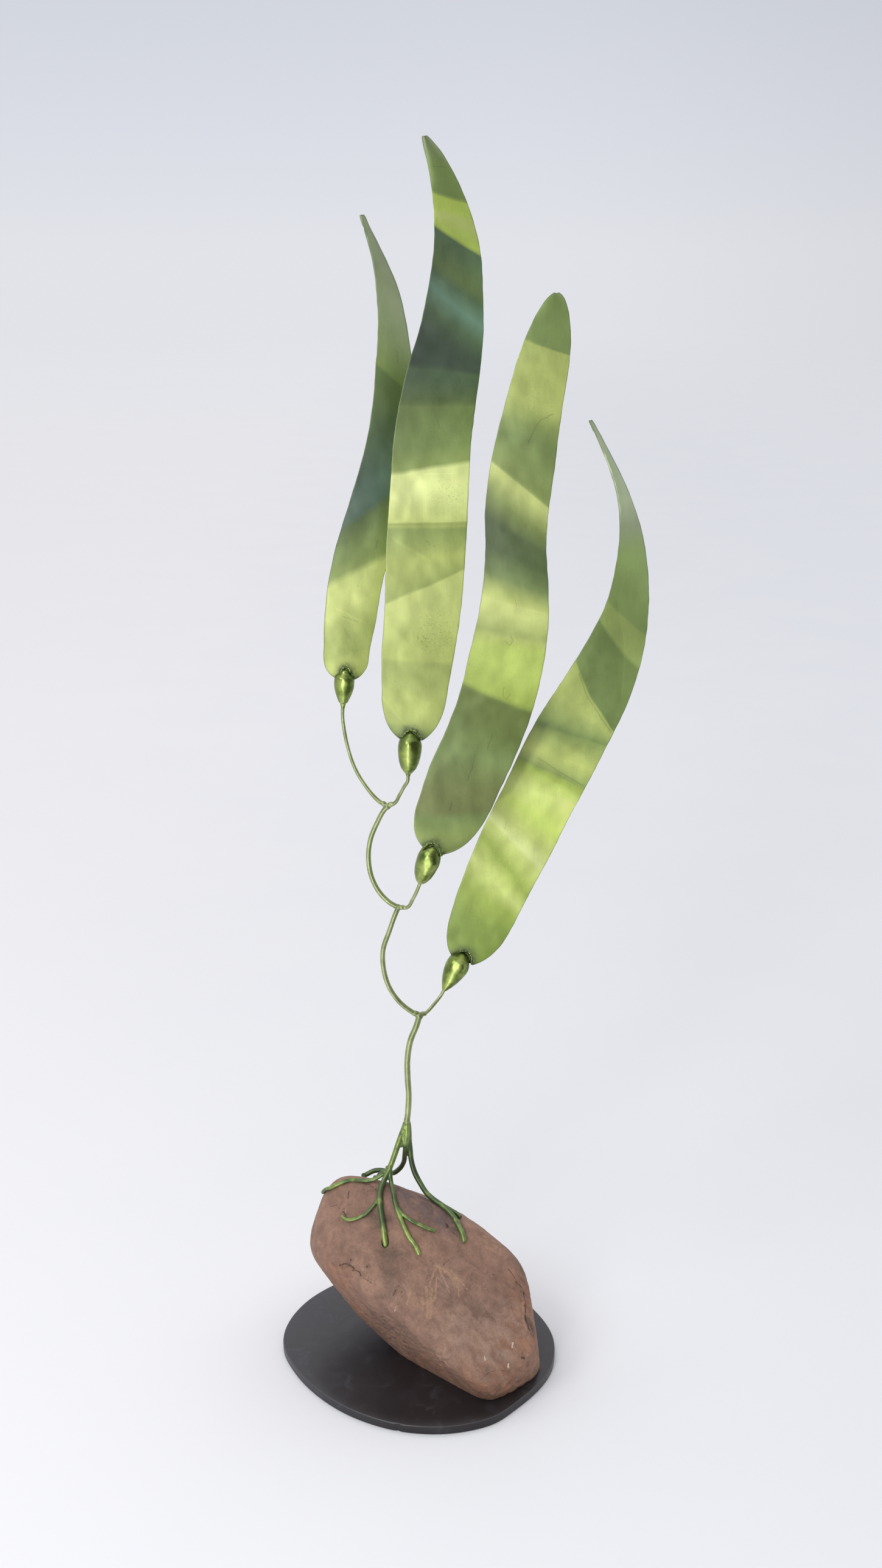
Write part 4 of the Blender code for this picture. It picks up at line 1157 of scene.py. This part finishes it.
                      (-0.08, 10, [(452, -1.1), (440, 1.1), (420, 1.1), (420, -1.1)])],
          "dark": [(0.9, [(714, -0.66), (690, -0.1), (653, 0.92)]),
                   (0.9, [(448, -0.92), (447, -0.92)]), (0.7, [(442, -0.97), (441, -0.97)]),
                   (0.7, [(627, -0.5), (612, 0.2), (598, 0.9)]),
                   (0.5, [(470, -0.2), (464, -0.1)]), (0.5, [(560, -0.5), (552, -0.46)])],
          "pale": [(0.9, [(788, -0.56), (741, 0.33), (690, 0.79)]),
                   (0.8, [(585, 0.66), (577, 0.82), (580, 0.72)]),
                   (0.8, [(499, 0.44), (496, 0.60), (500, 0.58)]),
                   (0.8, [(538, 0.25), (537, 0.26)]), (0.6, [(560, 0.6), (553, 0.72)]),
                   (0.6, [(548, 0.4), (541, 0.5)])],
          "pitted": [(530, -0.3, 30, 0.5, 0.35), (600, 0.5, 24, 0.4, 0.3),
                     (455, -0.4, 16, 0.5, 0.3)],
          "outline": [(412, 48, 34.5), (445, 58, 33), (482, 72, 36), (520, 88.5, 39),
                      (560, 105.5, 40), (598, 123, 40.5), (637, 140, 41), (674, 157, 40),
                      (711, 173.5, 35), (747, 187, 28), (782, 196, 21), (816, 199, 16),
                      (850, 197, 11), (883, 189, 6.4), (922, 172.0, 3.1), (949, 157.5, 1.8)],
          "depth": [(412, 50), (520, 62), (640, 54), (740, 44), (840, 52), (949, 60)],
          "twist": [(412, -4), (700, 6), (782, 16), (816, 24), (850, 28), (883, 25),
                    (922, 13), (949, 4)],
          "bands": [(400, 400, "leaf"), (462, 446, "leaf"), (496, 458, "spring"),
                    (523, 466, "limePale"), (546, 481, "spring"),
                    (563, 506, "limePale", "pale", 4), (575, 525, "light"), (590, 545, "lime"),
                    (604, 574, "limePale"), (626, 594, "spring", "soft", 4), (640, 614, "light"),
                    (662, 638, "soft", "green", 4), (694, 650, "mid"),
                    (727, 652, "mid", "moss", 1.8), (748, 690, "moss"),
                    (768, 716, "moss", "soft", 4), (786, 750, "soft", "green", 4),
                    (830, 830, "green"), (852, 852, "grey"), (876, 876, "greyPale"),
                    (960, 960, "greyPale")]},
}


def bladeEdges(spec, height):
    # The blade's middle and half width at each height, before its ends are rounded
    found = smoothValues(spec["outline"], height)
    return found[:, 0], found[:, 1]


def bladeHeights(spec):
    low, high = spec["outline"][0][0], spec["outline"][-1][0]
    cell = blades["cell"]

    def endRises(half, rounding, flat):
        # Rows along the rounded end, each about one cell from the last
        first = math.asin(min(0.7, flat / half))
        count = max(3, round(max(half, rounding) * 1.3 / cell))
        angles = first + (math.pi / 2 - first) * np.arange(count + 1) / count
        return rounding * (1 - np.cos(angles))

    base = low + endRises(spec["outline"][0][2], spec["baseRound"], blades["baseFlat"])
    tip = high - endRises(spec["outline"][-1][2], spec["tipRound"], blades["tipFlat"])
    count = round((tip[-1] - base[-1]) / cell)
    between = base[-1] + (tip[-1] - base[-1]) * np.arange(1, count) / count
    return np.concatenate([base, between, tip[::-1]])


def bladePlaces(spec, height, across):
    # Points of the blade's middle sheet; across runs from -1 at the left edge to 1
    low, high = spec["outline"][0][0], spec["outline"][-1][0]
    middle, half = bladeEdges(spec, height)
    intoBase = np.maximum(0, 1 - (height - low) / spec["baseRound"])
    intoTip = np.maximum(0, 1 - (high - height) / spec["tipRound"])
    half = half * np.sqrt((1 - intoBase**2) * (1 - intoTip**2))
    depth = smoothValues(spec["depth"], height)[:, 0]
    twist = smoothValues(spec["twist"], height)[:, 0]
    depth = depth + across * twist / 2 + blades["camber"] * (across * across - 0.5)
    return np.column_stack([middle + across * half, depth, height])


def acrossBlade(spec, places):
    middle, half = bladeEdges(spec, places[:, 2])
    return (places[:, 0] - middle) / half


def bandPlaces(spec, places):
    # Where each point lies among the blade's tone changes, as one rising number
    across = np.clip(acrossBlade(spec, places), -1.1, 1.1)
    lines = np.array([[left + (right - left) * (a + 1) / 2 for left, right, *_ in spec["bands"]]
                      for a in across])
    lines = np.maximum.accumulate(lines, axis=1)
    order = np.arange(len(spec["bands"]))
    return np.array([np.interp(z, row, order) for z, row in zip(places[:, 2], lines)])


def spotPlace(spec, height, across):
    # A mark's height and place across, as the flat place on the sheet in millimetres
    middle, half = bladeEdges(spec, height)
    return np.array([middle[0] + across * half[0], height])


def paintedLightShares(spec, places):
    # Painted light and shade at each point: the blade's patches, and its gain by height and
    # left to right
    flat = places[:, [0, 2]]
    tones = np.zeros(len(places))
    for amount, soft, corners in spec["patches"]:
        ring = np.array([spotPlace(spec, *corner) for corner in corners])
        middle = ring.mean(axis=0)
        inside = np.full(len(places), 1e3)
        for a, b in zip(ring, np.roll(ring, -1, axis=0)):
            out = np.array([(b - a)[1], -(b - a)[0]])
            out *= np.sign(out @ (a - middle)) / np.linalg.norm(out)
            inside = np.minimum(inside, (a - flat) @ out)
        share = np.clip(0.5 + inside / soft / 2, 0, 1)
        tones += amount * share * share * (3 - 2 * share)
    gain, sideways = smoothValues(spec["light"], places[:, 2]).T
    return (1 + tones) * gain * (1 + sideways * np.clip(acrossBlade(spec, places), -1, 1)) - 1


def pittedShares(spec, places):
    across = acrossBlade(spec, places)
    found = np.zeros(len(places))
    for height, middle, tall, wide, amount in spec["pitted"]:
        found += amount * np.exp(-((places[:, 2] - height) / tall) ** 4
                                 - ((across - middle) / wide) ** 4)
    return np.clip(found, 0, 1)


def rimShares(spec, places):
    # 1 at the blade's cut edge, falling off over less than a millimetre
    heights = bladeHeights(spec)
    heights = np.interp(np.arange(0, len(heights), 0.5), np.arange(len(heights)), heights)
    ones = np.ones(len(heights))
    edge = [bladePlaces(spec, heights, side * ones) for side in (-1, 1)]
    ends = [bladePlaces(spec, heights[k] * np.ones(40), np.linspace(-1, 1, 40))
            for k in (0, -1)]
    spots = np.vstack(edge + ends)
    tree = KDTree(len(spots))
    for index, spot in enumerate(spots):
        tree.insert((spot[0], 0, spot[2]), index)
    tree.balance()
    away = np.array([tree.find((x, 0, z))[2] for x, _, z in places])
    return np.exp(-(away / 1.0) ** 2)


def makeBlade(number):
    spec = blades[number]
    heights = bladeHeights(spec)
    widest = max(half for _, _, half in spec["outline"])
    columns = round(2 * widest / blades["cell"])
    piece = addShape("grid", x_subdivisions=columns, y_subdivisions=len(heights) - 1, size=2.0)
    piece.name = "blade" + number + "Dressed"
    flat = readPlaces(piece)
    row = np.rint((flat[:, 1] + 1) / 2 * (len(heights) - 1)).astype(int)
    across = flat[:, 0]
    places = bladePlaces(spec, heights[row], across)
    seed = 20 + int(number)
    size, height = blades["dents"]
    places[:, 1] += height * np.clip(ripple(places, size, seed, 2), -1, 1)
    size, height = blades["edgeWaves"]
    edge = np.abs(across) ** 6
    places[:, 0] -= np.sign(across) * edge * height * (1 + ripple(places, size, seed + 5, 1))
    # The sheet bends softly along each sharp change in its painted reflections
    band = bandPlaces(spec, places)
    for k, (_, _, _, *change) in enumerate(spec["bands"]):
        if change and change[1] < blades["sharp"]:
            places[:, 1] += blades["crease"] * np.maximum(0, 1 - np.abs(band - k) / 0.5)
    writePlaces(piece, places * mm)
    applyStep(piece, "SOLIDIFY", thickness=blades["thick"] * mm, offset=0.0)
    applyStep(piece, "BEVEL", width=blades["rim"] * mm, segments=2, limit_method="ANGLE",
              angle_limit=math.radians(60))
    return piece


bladePieces = {number: makeBlade(number) for number in "1234"}
say("blades shaped")

# The welds that hold each float in its blade's notch

welds = {
    "beadRadius": 1.1, "voxel": 0.34, "smoothing": 7, "notchShare": 0.93, "notchDepth": 16,
    # The bead's drops: how far they stray, how large the large ones are and how often they
    # come; and the recess behind the bead
    "stray": 0.18, "large": 1.55, "often": 0.16, "recess": 1.7,
    # Points of each bead, across and up from the float's nub
    "1": [(-6.2, -6), (-4, -2.7), (-2.4, 0.6), (0.6, 2.0), (3.6, 0.6), (5.3, -2.7),
          (7.4, -6.2), (9.1, -9.1)],
    "2": [(-9.2, -7.5), (-7, -3.6), (-3.8, 0.6), (0, 2.0), (3.6, 1.4), (6.2, -1.2),
          (8.6, -4.2), (10.6, -6.6)],
    "3": [(-10.7, -2.6), (-7.3, 0.9), (-5.1, 2.7), (-1.3, 3.7), (3, 2.4), (5.1, -0.9),
          (6, -4.3), (7.4, -7.9)],
    "4": [(-8.4, -2.4), (-6.4, -0.4), (-3, 1.3), (1.7, 2), (5.1, 0.3), (7.3, -3),
          (7.7, -6.4), (7.3, -10.3)],
}


def onBlade(number, x, z, out=0.0):
    # A point on the blade's sheet; out is towards the front
    spec = blades[number]
    height = np.array([z], float)
    middle, half = bladeEdges(spec, height)
    low = spec["outline"][0][0]
    intoBase = max(0.0, 1 - (z - low) / spec["baseRound"])
    half = half * math.sqrt(max(0.05, 1 - intoBase**2))
    across = float(np.clip((x - middle[0]) / half[0], -1.3, 1.3))
    place = bladePlaces(spec, height, np.array([across]))[0]
    return Vector((x, place[1] - out, z))


def makeWeld(number):
    nub = Vector(floats[number]["nub"])
    draw = random.Random(40 + int(number))
    points = [(nub.x + dx, nub.z + dz) for dx, dz in welds[number]]
    route = smoothRoute([onBlade(number, x, z, 0.3) for x, z in points], 0.75)
    parts = []
    for place in route:
        shift = Vector([draw.gauss(0, welds["stray"]) for _ in range(3)])
        large = draw.random() < welds["often"]
        size = welds["beadRadius"] * (welds["large"] if large else draw.uniform(0.9, 1.15))
        parts.append(blob(place + shift, size, [draw.uniform(0.8, 1.2) for _ in range(3)],
                          detail=2))
    # The recess behind the bead, up to the float's shoulder, which is painted dark as shade
    for place in route[::2]:
        for share in (0.1, 0.35, 0.6, 0.85):
            x = nub.x + (place.x - nub.x) * share
            z = nub.z - 6 + (place.z - nub.z + 6) * share
            parts.append(blob(onBlade(number, x, z, -1.6), welds["recess"], detail=2))
    piece = joinPieces(parts, "weld" + number + "Dressed")
    melt(piece, welds["voxel"], welds["smoothing"])
    return piece, route


weldPieces, weldRoutes = {}, {}
for number in "1234":
    weldPieces[number], weldRoutes[number] = makeWeld(number)
say("welds made")


def cutNotch(number):
    # The blade is cut clear round its float, along the bead
    nub = Vector(floats[number]["nub"])
    inner = [(nub.x + dx * welds["notchShare"], nub.z + dz) for dx, dz in welds[number]]
    cutter = addShape("circle", vertices=len(inner) + 2, radius=1.0, fill_type="NGON")
    low = nub.z - welds["notchDepth"]
    ring = inner + [(inner[-1][0], low), (inner[0][0], low)]
    reach = 25  # in front of the blade and behind it
    writePlaces(cutter, [(x * mm, (nub.y - reach) * mm, z * mm) for x, z in ring])
    editAll((bpy.ops.mesh.extrude_region_move,
             {"TRANSFORM_OT_translate": {"value": (0, 2 * reach * mm, 0)}}),
            (bpy.ops.mesh.normals_make_consistent, {"inside": False}))
    cutAway(bladePieces[number], cutter)


for number in "1234":
    cutNotch(number)
say("notches cut")


# Candy paint, with painted reflections, highlights and shade

def makeBladePaint(number):
    spec = blades[number]
    material, tree, shader = newMaterial("candyPaintAndPaintedLightBlade" + number)
    place = objectPlace(tree)
    grainPlace = objectPlace(tree, (900, 900, 26))
    last = len(spec["bands"]) - 1
    drift = cloud(tree, place, 0.035, 1.0, 0.5)
    band = total(tree, readMark(tree, "band"), remap(tree, drift, 0.3, 0.7, -0.03, 0.03))
    stops = []
    rows = spec["bands"]
    for k, (left, right, tone, *change) in enumerate(rows):
        gapBelow = (left + right - rows[k - 1][0] - rows[k - 1][1]) / 2 if k else 20
        gapAbove = (rows[k + 1][0] + rows[k + 1][1] - left - right) / 2 if k < last else 20
        if change:
            above, soft = change
            stops.append(((k - min(0.45, soft / 2 / max(gapBelow, 1))) / last, paintAndReflection[tone]))
            stops.append(((k + min(0.45, soft / 2 / max(gapAbove, 1))) / last, paintAndReflection[above]))
        else:
            stops.append((k / last, paintAndReflection[tone]))
    stops = [(min(1.0, max(0.0, place)), colour) for place, colour in stops]
    # The bands of colour up the blade are partly paint and partly painted reflections
    colour = makeRamp(tree, calc(tree, "DIVIDE", band, last), stops)
    brush = cloud(tree, grainPlace, 1.0, 3.0, 0.6)
    blotch = cloud(tree, place, 0.05, 2.0, 0.5, 0.4)
    grain = cloud(tree, place, 0.75, 3.0, 0.6)
    shade = product(tree, remap(tree, brush, 0.25, 0.75, 0.975, 1.025),
                    remap(tree, blotch, 0.3, 0.7, 0.965, 1.035),
                    remap(tree, grain, 0.25, 0.75, 0.975, 1.025))
    # Painted light and shade: the blade's patches, and its gain by height and left to right
    shade = lighter(tree, shade, readMark(tree, "lift"))
    # Old pitting under the paint: dark dots and pale flecks
    pitted = readMark(tree, "pitted")
    dots = remap(tree, cloud(tree, place, 0.62, 3.0, 0.6, 0.6), 0.56, 0.66)
    flecks = remap(tree, cloud(tree, place, 0.40, 3.0, 0.6, 0.9, output=1), 0.56, 0.66)
    shade = lighter(tree, shade, dots, remap(tree, pitted, 0, 1, -0.02, -0.30, linear=True))
    shade = lighter(tree, shade, flecks, remap(tree, pitted, 0, 1, 0.015, 0.22, linear=True))
    # Scratches and spots, and dark and pale lines along folds as painted shade and highlights, all
    # at listed points
    flat = waver(tree, objectPlace(tree, (1000, 0, 1000)), 0.25, 2.0, (2.2, 0, 2.2))
    for name, amount in (("dark", -0.30), ("pale", 0.11)):
        lines = [(width, [(x, 0, z) for x, z in (spotPlace(spec, *point) for point in points)])
                 for width, points in spec[name]]
        shade = lighter(tree, shade, drawStrokes(tree, flat, lines), amount)
    bright = scaled(tree, colour, shade)
    bright = stain(tree, bright, srgb(104, 112, 84),
                   remap(tree, readMark(tree, "rim"), 0.35, 0.95, 0.0, 0.62))
    uneven = remap(tree, cloud(tree, place, 0.35, 4.0), 0.25, 0.7, 0.55, 1.1)
    sootEdge = calc(tree, "MULTIPLY", readMark(tree, "soot"), uneven, clamp=True)
    bright = stain(tree, bright, srgb(44, 56, 34), sootEdge)
    rough = weighted(tree, (remap(tree, brush, 0.2, 0.8, 0.36, 0.44), 1.0), (pitted, 0.12))
    dents = cloud(tree, place, 0.09, 1.0, 0.5)
    relief = weighted(tree, (brush, 0.03), (dents, 1.0), (product(tree, dots, pitted), -0.30))
    finishShader(tree, shader, bright, rough, 0.42, relief, 0.16, 0.0012)
    return material


# Paint on the rods and beads: deep, middle and light colour, metal, roughness and bumps
rodPaints = {
    "candyPaintStem": ((126, 136, 92), (148, 158, 110), (172, 182, 134), 0.66, 0.33, 0.12),
    "candyPaintAndPaintedLightRoots": ((74, 90, 62), (94, 114, 70), (150, 170, 94), 0.60, 0.36, 0.16),
    "candyPaintAndPaintedLightFloats": ((88, 104, 52), (128, 145, 72), (166, 180, 102), 0.80, 0.27, 0.10),
    "weldBeadPaintAndShade": ((84, 100, 56), (118, 136, 72), (172, 186, 116), 0.7, 0.30, 0.3),
}


def makeRodPaint(name):
    deep, middle, light, metallic, roughness, bumpy = rodPaints[name]
    material, tree, shader = newMaterial(name)
    place = objectPlace(tree)
    blotch = cloud(tree, place, 0.07, 3.0, 0.5, 0.4)
    speck = cloud(tree, place, 0.7, 2.0, 0.5)
    # Random clouding, plus the piece's mark: painted highlights and painted shade on the floats and
    # roots, random tone on the beads
    tone = total(tree, blotch, readMark(tree, "glow"))
    colour = makeRamp(tree, tone, [(0.28, srgb(*deep)), (0.50, srgb(*middle)),
                                   (0.75, srgb(*light))])
    colour = stain(tree, colour, srgb(60, 70, 40), remap(tree, speck, 0.70, 0.78, 0.0, 0.7))
    uneven = remap(tree, cloud(tree, place, 0.5, 4.0), 0.3, 0.65, 0.5, 1.0)
    # Darker at joints and welds, and painted shade in the weld beads' recess and between their
    # drops
    colour = stain(tree, colour, srgb(38, 44, 30), readMark(tree, "soot"), uneven)
    rough = remap(tree, cloud(tree, place, 0.2), 0.3, 0.7, roughness, roughness + 0.08)
    relief = cloud(tree, place, 0.22, 2.0)
    finishShader(tree, shader, colour, rough, metallic, relief, bumpy, 0.0010)
    return material


stemPaint, rootPaint, floatPaint, weldPaint = [makeRodPaint(name) for name in rodPaints]

for number in "1234":
    weldRoute = weldRoutes[number]
    spec, piece = blades[number], bladePieces[number]
    places = readPlaces(piece) / mm
    settle(piece, makeBladePaint(number), "blades", "blade_" + number, angle=40,
           band=bandPlaces(spec, places), soot=0.92 * routeNear(places, weldRoute, 5.0),
           lift=paintedLightShares(spec, places), pitted=pittedShares(spec, places),
           rim=rimShares(spec, places))
    spec, piece = floats[number], floatPieces[number]
    places = readPlaces(piece) / mm
    settle(piece, floatPaint, "floats", "float_" + number, angle=50,
           glow=floatPaintedLight(spec, places),
           soot=np.maximum(routeNear(places, weldRoute, 2.2),
                           0.6 * near(places, spec["neck"], 2.5)))
    piece = weldPieces[number]
    places = readPlaces(piece) / mm
    # The bead is painted darker away from its middle line, and its recess dark, as painted shade
    settle(piece, weldPaint, "blades", angle=50,
           soot=1 - routeNear(places, weldRoute, 2.0),
           glow=0.25 * np.clip(ripple(places, 2.2, 60, 2), -0.6, 1))

places = readPlaces(stemPiece) / mm
forks = [near(places, spot, 5.0) for spot in (upperFork, middleFork, lowerFork)]
settle(stemPiece, stemPaint, "rods", "main_stipe", "stipe_2", "stipe_3", "branch_1", "branch_2",
       "branch_3", "branch_4", angle=50, soot=0.5 * np.clip(sum(forks), 0, 1),
       glow=np.zeros(len(places)))

# The roots carry painted highlights and painted shade, lighter wear at their ends, and darker
# joints where they leave the stem
places = readPlaces(holdfastPiece) / mm
joints = [near(places, spot, 3.0) for spot, _, _ in holdfast["welds"]]
settle(holdfastPiece, rootPaint, "roots", *["root_" + name for name in holdfast["rods"]],
       angle=50, soot=0.6 * np.clip(sum(joints), 0, 1),
       glow=sum(amount * near(places, spot, width) for spot, width, amount in holdfast["glows"]))
say("paint on")


# The stone's finish and its holes

stoneTints = {
    # Colour, the clouding it shows through, strength, and its places with their widths
    "rust": ((154, 106, 78), (0.35, 0.62), 0.7,
             [((104, -45, 89), 22), ((103, -75, 61), 24), ((84, -99, 29), 24),
              ((60, -96, 30), 24), ((-80, -35, 105), 16), ((-64, -20, 60), 26),
              ((6, -63, 25), 28), ((-90, -15, 95), 18)]),
    # Violet on the facet that turns back along the top is painted shade
    "violetShade": ((104, 87, 87), (0.28, 0.55), 0.8,
               [((-19, 9, 180), 16), ((-1, -2, 172), 15), ((18, -8, 162), 14),
                ((34, -13, 153), 12), ((2, 6, 170), 16)]),
    "grey": ((100, 80, 68), (0.25, 0.58), 0.75,
             [((-36, -34, 140), 9), ((-33, -46, 130), 9), ((-31, -56, 119), 9),
              ((-30, -64, 106), 8), ((-42, -16, 156), 9), ((-22, -41, 137), 8),
              ((-48, -6, 162), 7), ((-29, -14, 158), 7), ((112, -61, 64), 7),
              ((108, -60, 74), 6)]),
    "dust": ((160, 134, 118), (0.35, 0.60), 0.5,
             [((66, -80, 72), 26), ((36, -84, 78), 26), ((80, -88, 54), 20),
              ((92, -62, 80), 16), ((24, -52, 116), 14), ((-20, -64, 110), 12)]),
}

stoneMarks = {
    # Dark cracks and spots, then pale scratches and chips: width, points in millimetres
    "cracks": [
        (1.7, [(-82, -31, 118), (-76, -34, 121), (-70, -38, 122), (-66, -42, 120)]),
        (1.3, [(-66, -42, 120), (-61, -46, 119), (-59, -49, 117)]),
        (0.9, [(-57, -51, 116), (-53, -54, 115), (-48, -58, 114)]),
        (2.0, [(-53, -45, 126), (-53.5, -45, 125)]), (2.2, [(-70, -34, 126), (-70, -34, 125)]),
        (2.0, [(-68, -42, 119), (-67, -42, 118)]), (1.3, [(-74, 18, 173), (-75, 13, 168)]),
        (1.3, [(-80, 5, 158), (-76, 0, 155)]),
        (0.8, [(-92, 15, 158), (-87, 13, 160), (-83, 8, 158), (-78, 7, 160)]),
        (0.9, [(-21, -61, 115), (-25, -65, 110), (-27, -68, 107)]),
        (0.8, [(23, -43, 126), (27, -40, 128), (29, -38, 129)]),
        (1.1, [(89, -32, 114), (94, -35, 108), (98, -39, 102), (103, -40, 96)]),
        (1.8, [(105, -42, 93), (105, -51, 84), (106, -61, 74), (108, -66, 66)]),
        (1.5, [(108, -66, 66), (112, -68, 57)]), (2.6, [(101, -85, 47), (103, -84, 46)]),
        (1.4, [(98, -90, 39), (99, -90, 39)]), (0.9, [(-60, 21, 180), (-53, 17, 181)]),
        (0.9, [(-53, 17, 181), (-47, 10, 181), (-43, 4, 178)]),
        (0.7, [(60, -105, 37), (66, -103, 42), (75, -100, 44), (84, -97, 41)]),
        (0.7, [(79, -100, 21), (88, -96, 25), (98, -86, 20)]),
        (2.6, [(27, -14, 155), (28, -16, 153)]), (1.6, [(33, -19, 148), (34, -20, 147)])],
    "pale": [
        (3.2, [(16, -45, 126), (24, -46, 122), (35, -50, 114)]),
        (1.6, [(16, -46, 124), (10, -56, 115), (10, -68, 102), (11, -79, 89)]),
        (1.2, [(19, -47, 123), (23, -52, 116), (28, -56, 109)]),
        (2.0, [(27, -46, 121), (31, -49, 116), (40, -49, 113)]),
        (1.3, [(17, -51, 119), (16, -61, 108), (13, -69, 100)]),
        (1.2, [(33, -51, 114), (38, -55, 107), (39, -60, 102)]),
        (1.0, [(22, -45, 123), (30, -50, 116), (36, -56, 108)]),
        (1.0, [(27, -44, 122), (36, -48, 115), (44, -53, 108)]),
        (0.9, [(31, -45, 120), (40, -49, 113), (48, -55, 105)]),
        (1.0, [(20, -47, 121), (25, -53, 113), (29, -59, 105)]),
        (2.4, [(6, -60, 111), (8, -72, 98), (7, -79, 89)]), (1.8, [(16, -58, 112), (15, -66, 103)]),
        (1.6, [(2, -66, 104), (3, -74, 95)]), (1.4, [(-9, -64, 110), (-13, -72, 99)]),
        (2.4, [(12, -60, 110), (11, -75, 94)]),
        (1.2, [(-77, 6, 161), (-77, 3, 157)]), (1.7, [(-25, -75, 95), (-23, -74, 98)]),
        (1.0, [(18, -93, 65), (19, -93, 59), (20, -93, 53)]),
        (1.0, [(64, -12, 140), (66, -13, 139), (71, -10, 136)]),
        (1.0, [(7, -51, 121), (6, -52, 121)]),
        (1.4, [(103, -50, 87), (103, -61, 76), (106, -68, 67)]),
        (2.0, [(111, -47, 76), (112, -52, 71), (114, -54, 63)])],
    "white": [(1.3, [(92, -80, 61), (92, -83, 58)]), (1.0, [(64, -94, 55), (64, -96, 53)]),
              (1.1, [(87, -93, 46), (87, -95, 43)]), (0.8, [(107, -80, 48), (107, -81, 47)]),
              (0.8, [(-25, -75, 95), (-25, -75, 94)])],
}


def makeStoneFinish():
    material, tree, shader = newMaterial("redStone")
    place = objectPlace(tree)
    turned = addNode(tree, "ShaderNodeMapping", {
        "Vector": place, "Rotation": (0, math.radians(32), 0)}).outputs[0]
    slanted = addNode(tree, "ShaderNodeMapping", {
        "Vector": turned, "Scale": (1, 1, 0.28)}).outputs[0]
    broad = cloud(tree, place, 0.016, 4.0, 0.55, 0.5)
    medium = cloud(tree, place, 0.07, 5.0, 0.6, 0.4)
    scars = cloud(tree, slanted, 0.11, 5.0, 0.6, 0.6)
    hairs = cloud(tree, slanted, 0.62, 4.0, 0.6, 0.3)
    fine = cloud(tree, place, 0.5, 5.0, 0.65)
    grit = cloud(tree, place, 2.0, 3.0, 0.6)
    colour = makeRamp(tree, broad, [(0.30, srgb(127, 98, 83)), (0.5, srgb(151, 117, 99)),
                                    (0.70, srgb(164, 128, 107))])
    for name, (tint, (low, high), strength, _) in stoneTints.items():
        cloudy = scars if name == "dust" else medium
        colour = stain(tree, colour, srgb(*tint), readMark(tree, name),
                       remap(tree, cloudy, low, high), strength)
    # Painted shade in the mesh's own hollows and painted light on its ridges
    hollowsAndRidges = addNode(tree, "ShaderNodeNewGeometry").outputs["Pointiness"]
    mottle = product(tree, remap(tree, scars, 0.3, 0.7, 0.82, 1.16),
                     remap(tree, fine, 0.25, 0.75, 0.90, 1.08),
                     remap(tree, medium, 0.3, 0.7, 0.93, 1.06),
                     remap(tree, grit, 0.3, 0.7, 0.96, 1.04),
                     remap(tree, hollowsAndRidges, 0.44, 0.56, 0.80, 1.16))
    colour = scaled(tree, colour, mottle)
    colour = stain(tree, colour, srgb(184, 152, 128), remap(tree, hairs, 0.62, 0.70), 0.35)
    chips = remap(tree, cloud(tree, place, 0.36, 2.0, 0.4, 1.2), 0.72, 0.77)
    colour = stain(tree, colour, srgb(190, 156, 132), chips, 0.5)
    pits = product(tree, remap(tree, cloud(tree, place, 0.42, 2.0, 0.5, 0.3), 0.30, 0.25),
                   remap(tree, cloud(tree, place, 0.05, 2.0, output=1), 0.48, 0.62))
    colour = stain(tree, colour, srgb(62, 42, 36), pits, 0.7)

    # Drawn marks: broken pale streaks, cracks, and white chips
    wavered = waver(tree, place, 0.22, 3.0, (3.2, 3.2, 3.2))
    pale = drawStrokes(tree, wavered, stoneMarks["pale"], stoneSkin)
    colour = stain(tree, colour, srgb(190, 152, 122), pale,
                   remap(tree, fine, 0.34, 0.54, 0.35, 1.0),
                   remap(tree, hairs, 0.3, 0.55, 0.45, 1.0), 0.85)
    cracks = product(tree, drawStrokes(tree, wavered, stoneMarks["cracks"], stoneSkin),
                     remap(tree, fine, 0.28, 0.5, 0.75, 1.0))
    colour = stain(tree, colour, srgb(62, 41, 34), remap(tree, cracks, 0.35, 0.75), 0.82)
    white = drawStrokes(tree, wavered, stoneMarks["white"], stoneSkin)
    colour = stain(tree, colour, srgb(226, 210, 190), remap(tree, white, 0.1, 0.6), 0.8)
    relief = weighted(tree, (fine, 0.45), (medium, 1.0), (scars, 1.1), (hairs, 0.18),
                      (grit, 0.10), (pits, -0.5))
    finishShader(tree, shader, colour, 0.80, 0.0, relief, 0.75, 0.0022)
    return material


def finishStone():
    # The root goes into a hole, and the pin comes up from below
    end = rootRoutes["centre"][-1]
    route = [place for place in rootRoutes["centre"]
             if (place - end).length < stone["holeLength"]]
    cutAway(stonePiece, rod("rootHole", [*route, end + Vector((1, 4, -6))],
                            stone["holeRadii"], sides=8))
    cutAway(stonePiece, pinDrill(90, 0))
    places = readPlaces(stonePiece) / mm
    tints = {name: np.clip(sum(near(places, spot, width) for spot, width in spots), 0, 1)
             for name, (_, _, _, spots) in stoneTints.items()}
    settle(stonePiece, makeStoneFinish(), "stone", "stone", angle=45, **tints)
    say("stone finished")


finishStone()


# The anchor pin keeps its CAD shape

def makeBareSteel():
    material, tree, shader = newMaterial("bareSteel")
    turned = cloud(tree, objectPlace(tree, (300, 300, 4000)), 1.0, 3.0, 0.6)
    colour = makeRamp(tree, turned, [(0.3, srgb(140, 140, 142)), (0.7, srgb(176, 176, 178))])
    rough = remap(tree, turned, 0.2, 0.8, 0.28, 0.45)
    finishShader(tree, shader, colour, rough, 1.0, turned, 0.2, 0.0003)
    return material


pin = frame["nodes"]["anchor_pin"]
pin.data.materials.clear()
pin.data.materials.append(makeBareSteel())

deselectAll()
for piece in bpy.context.scene.objects:
    if piece.type == "MESH" and not piece.hide_render:
        piece.data.calc_loop_triangles()
        print(piece.name, len(piece.data.loop_triangles), "triangles")
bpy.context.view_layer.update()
say("finished")
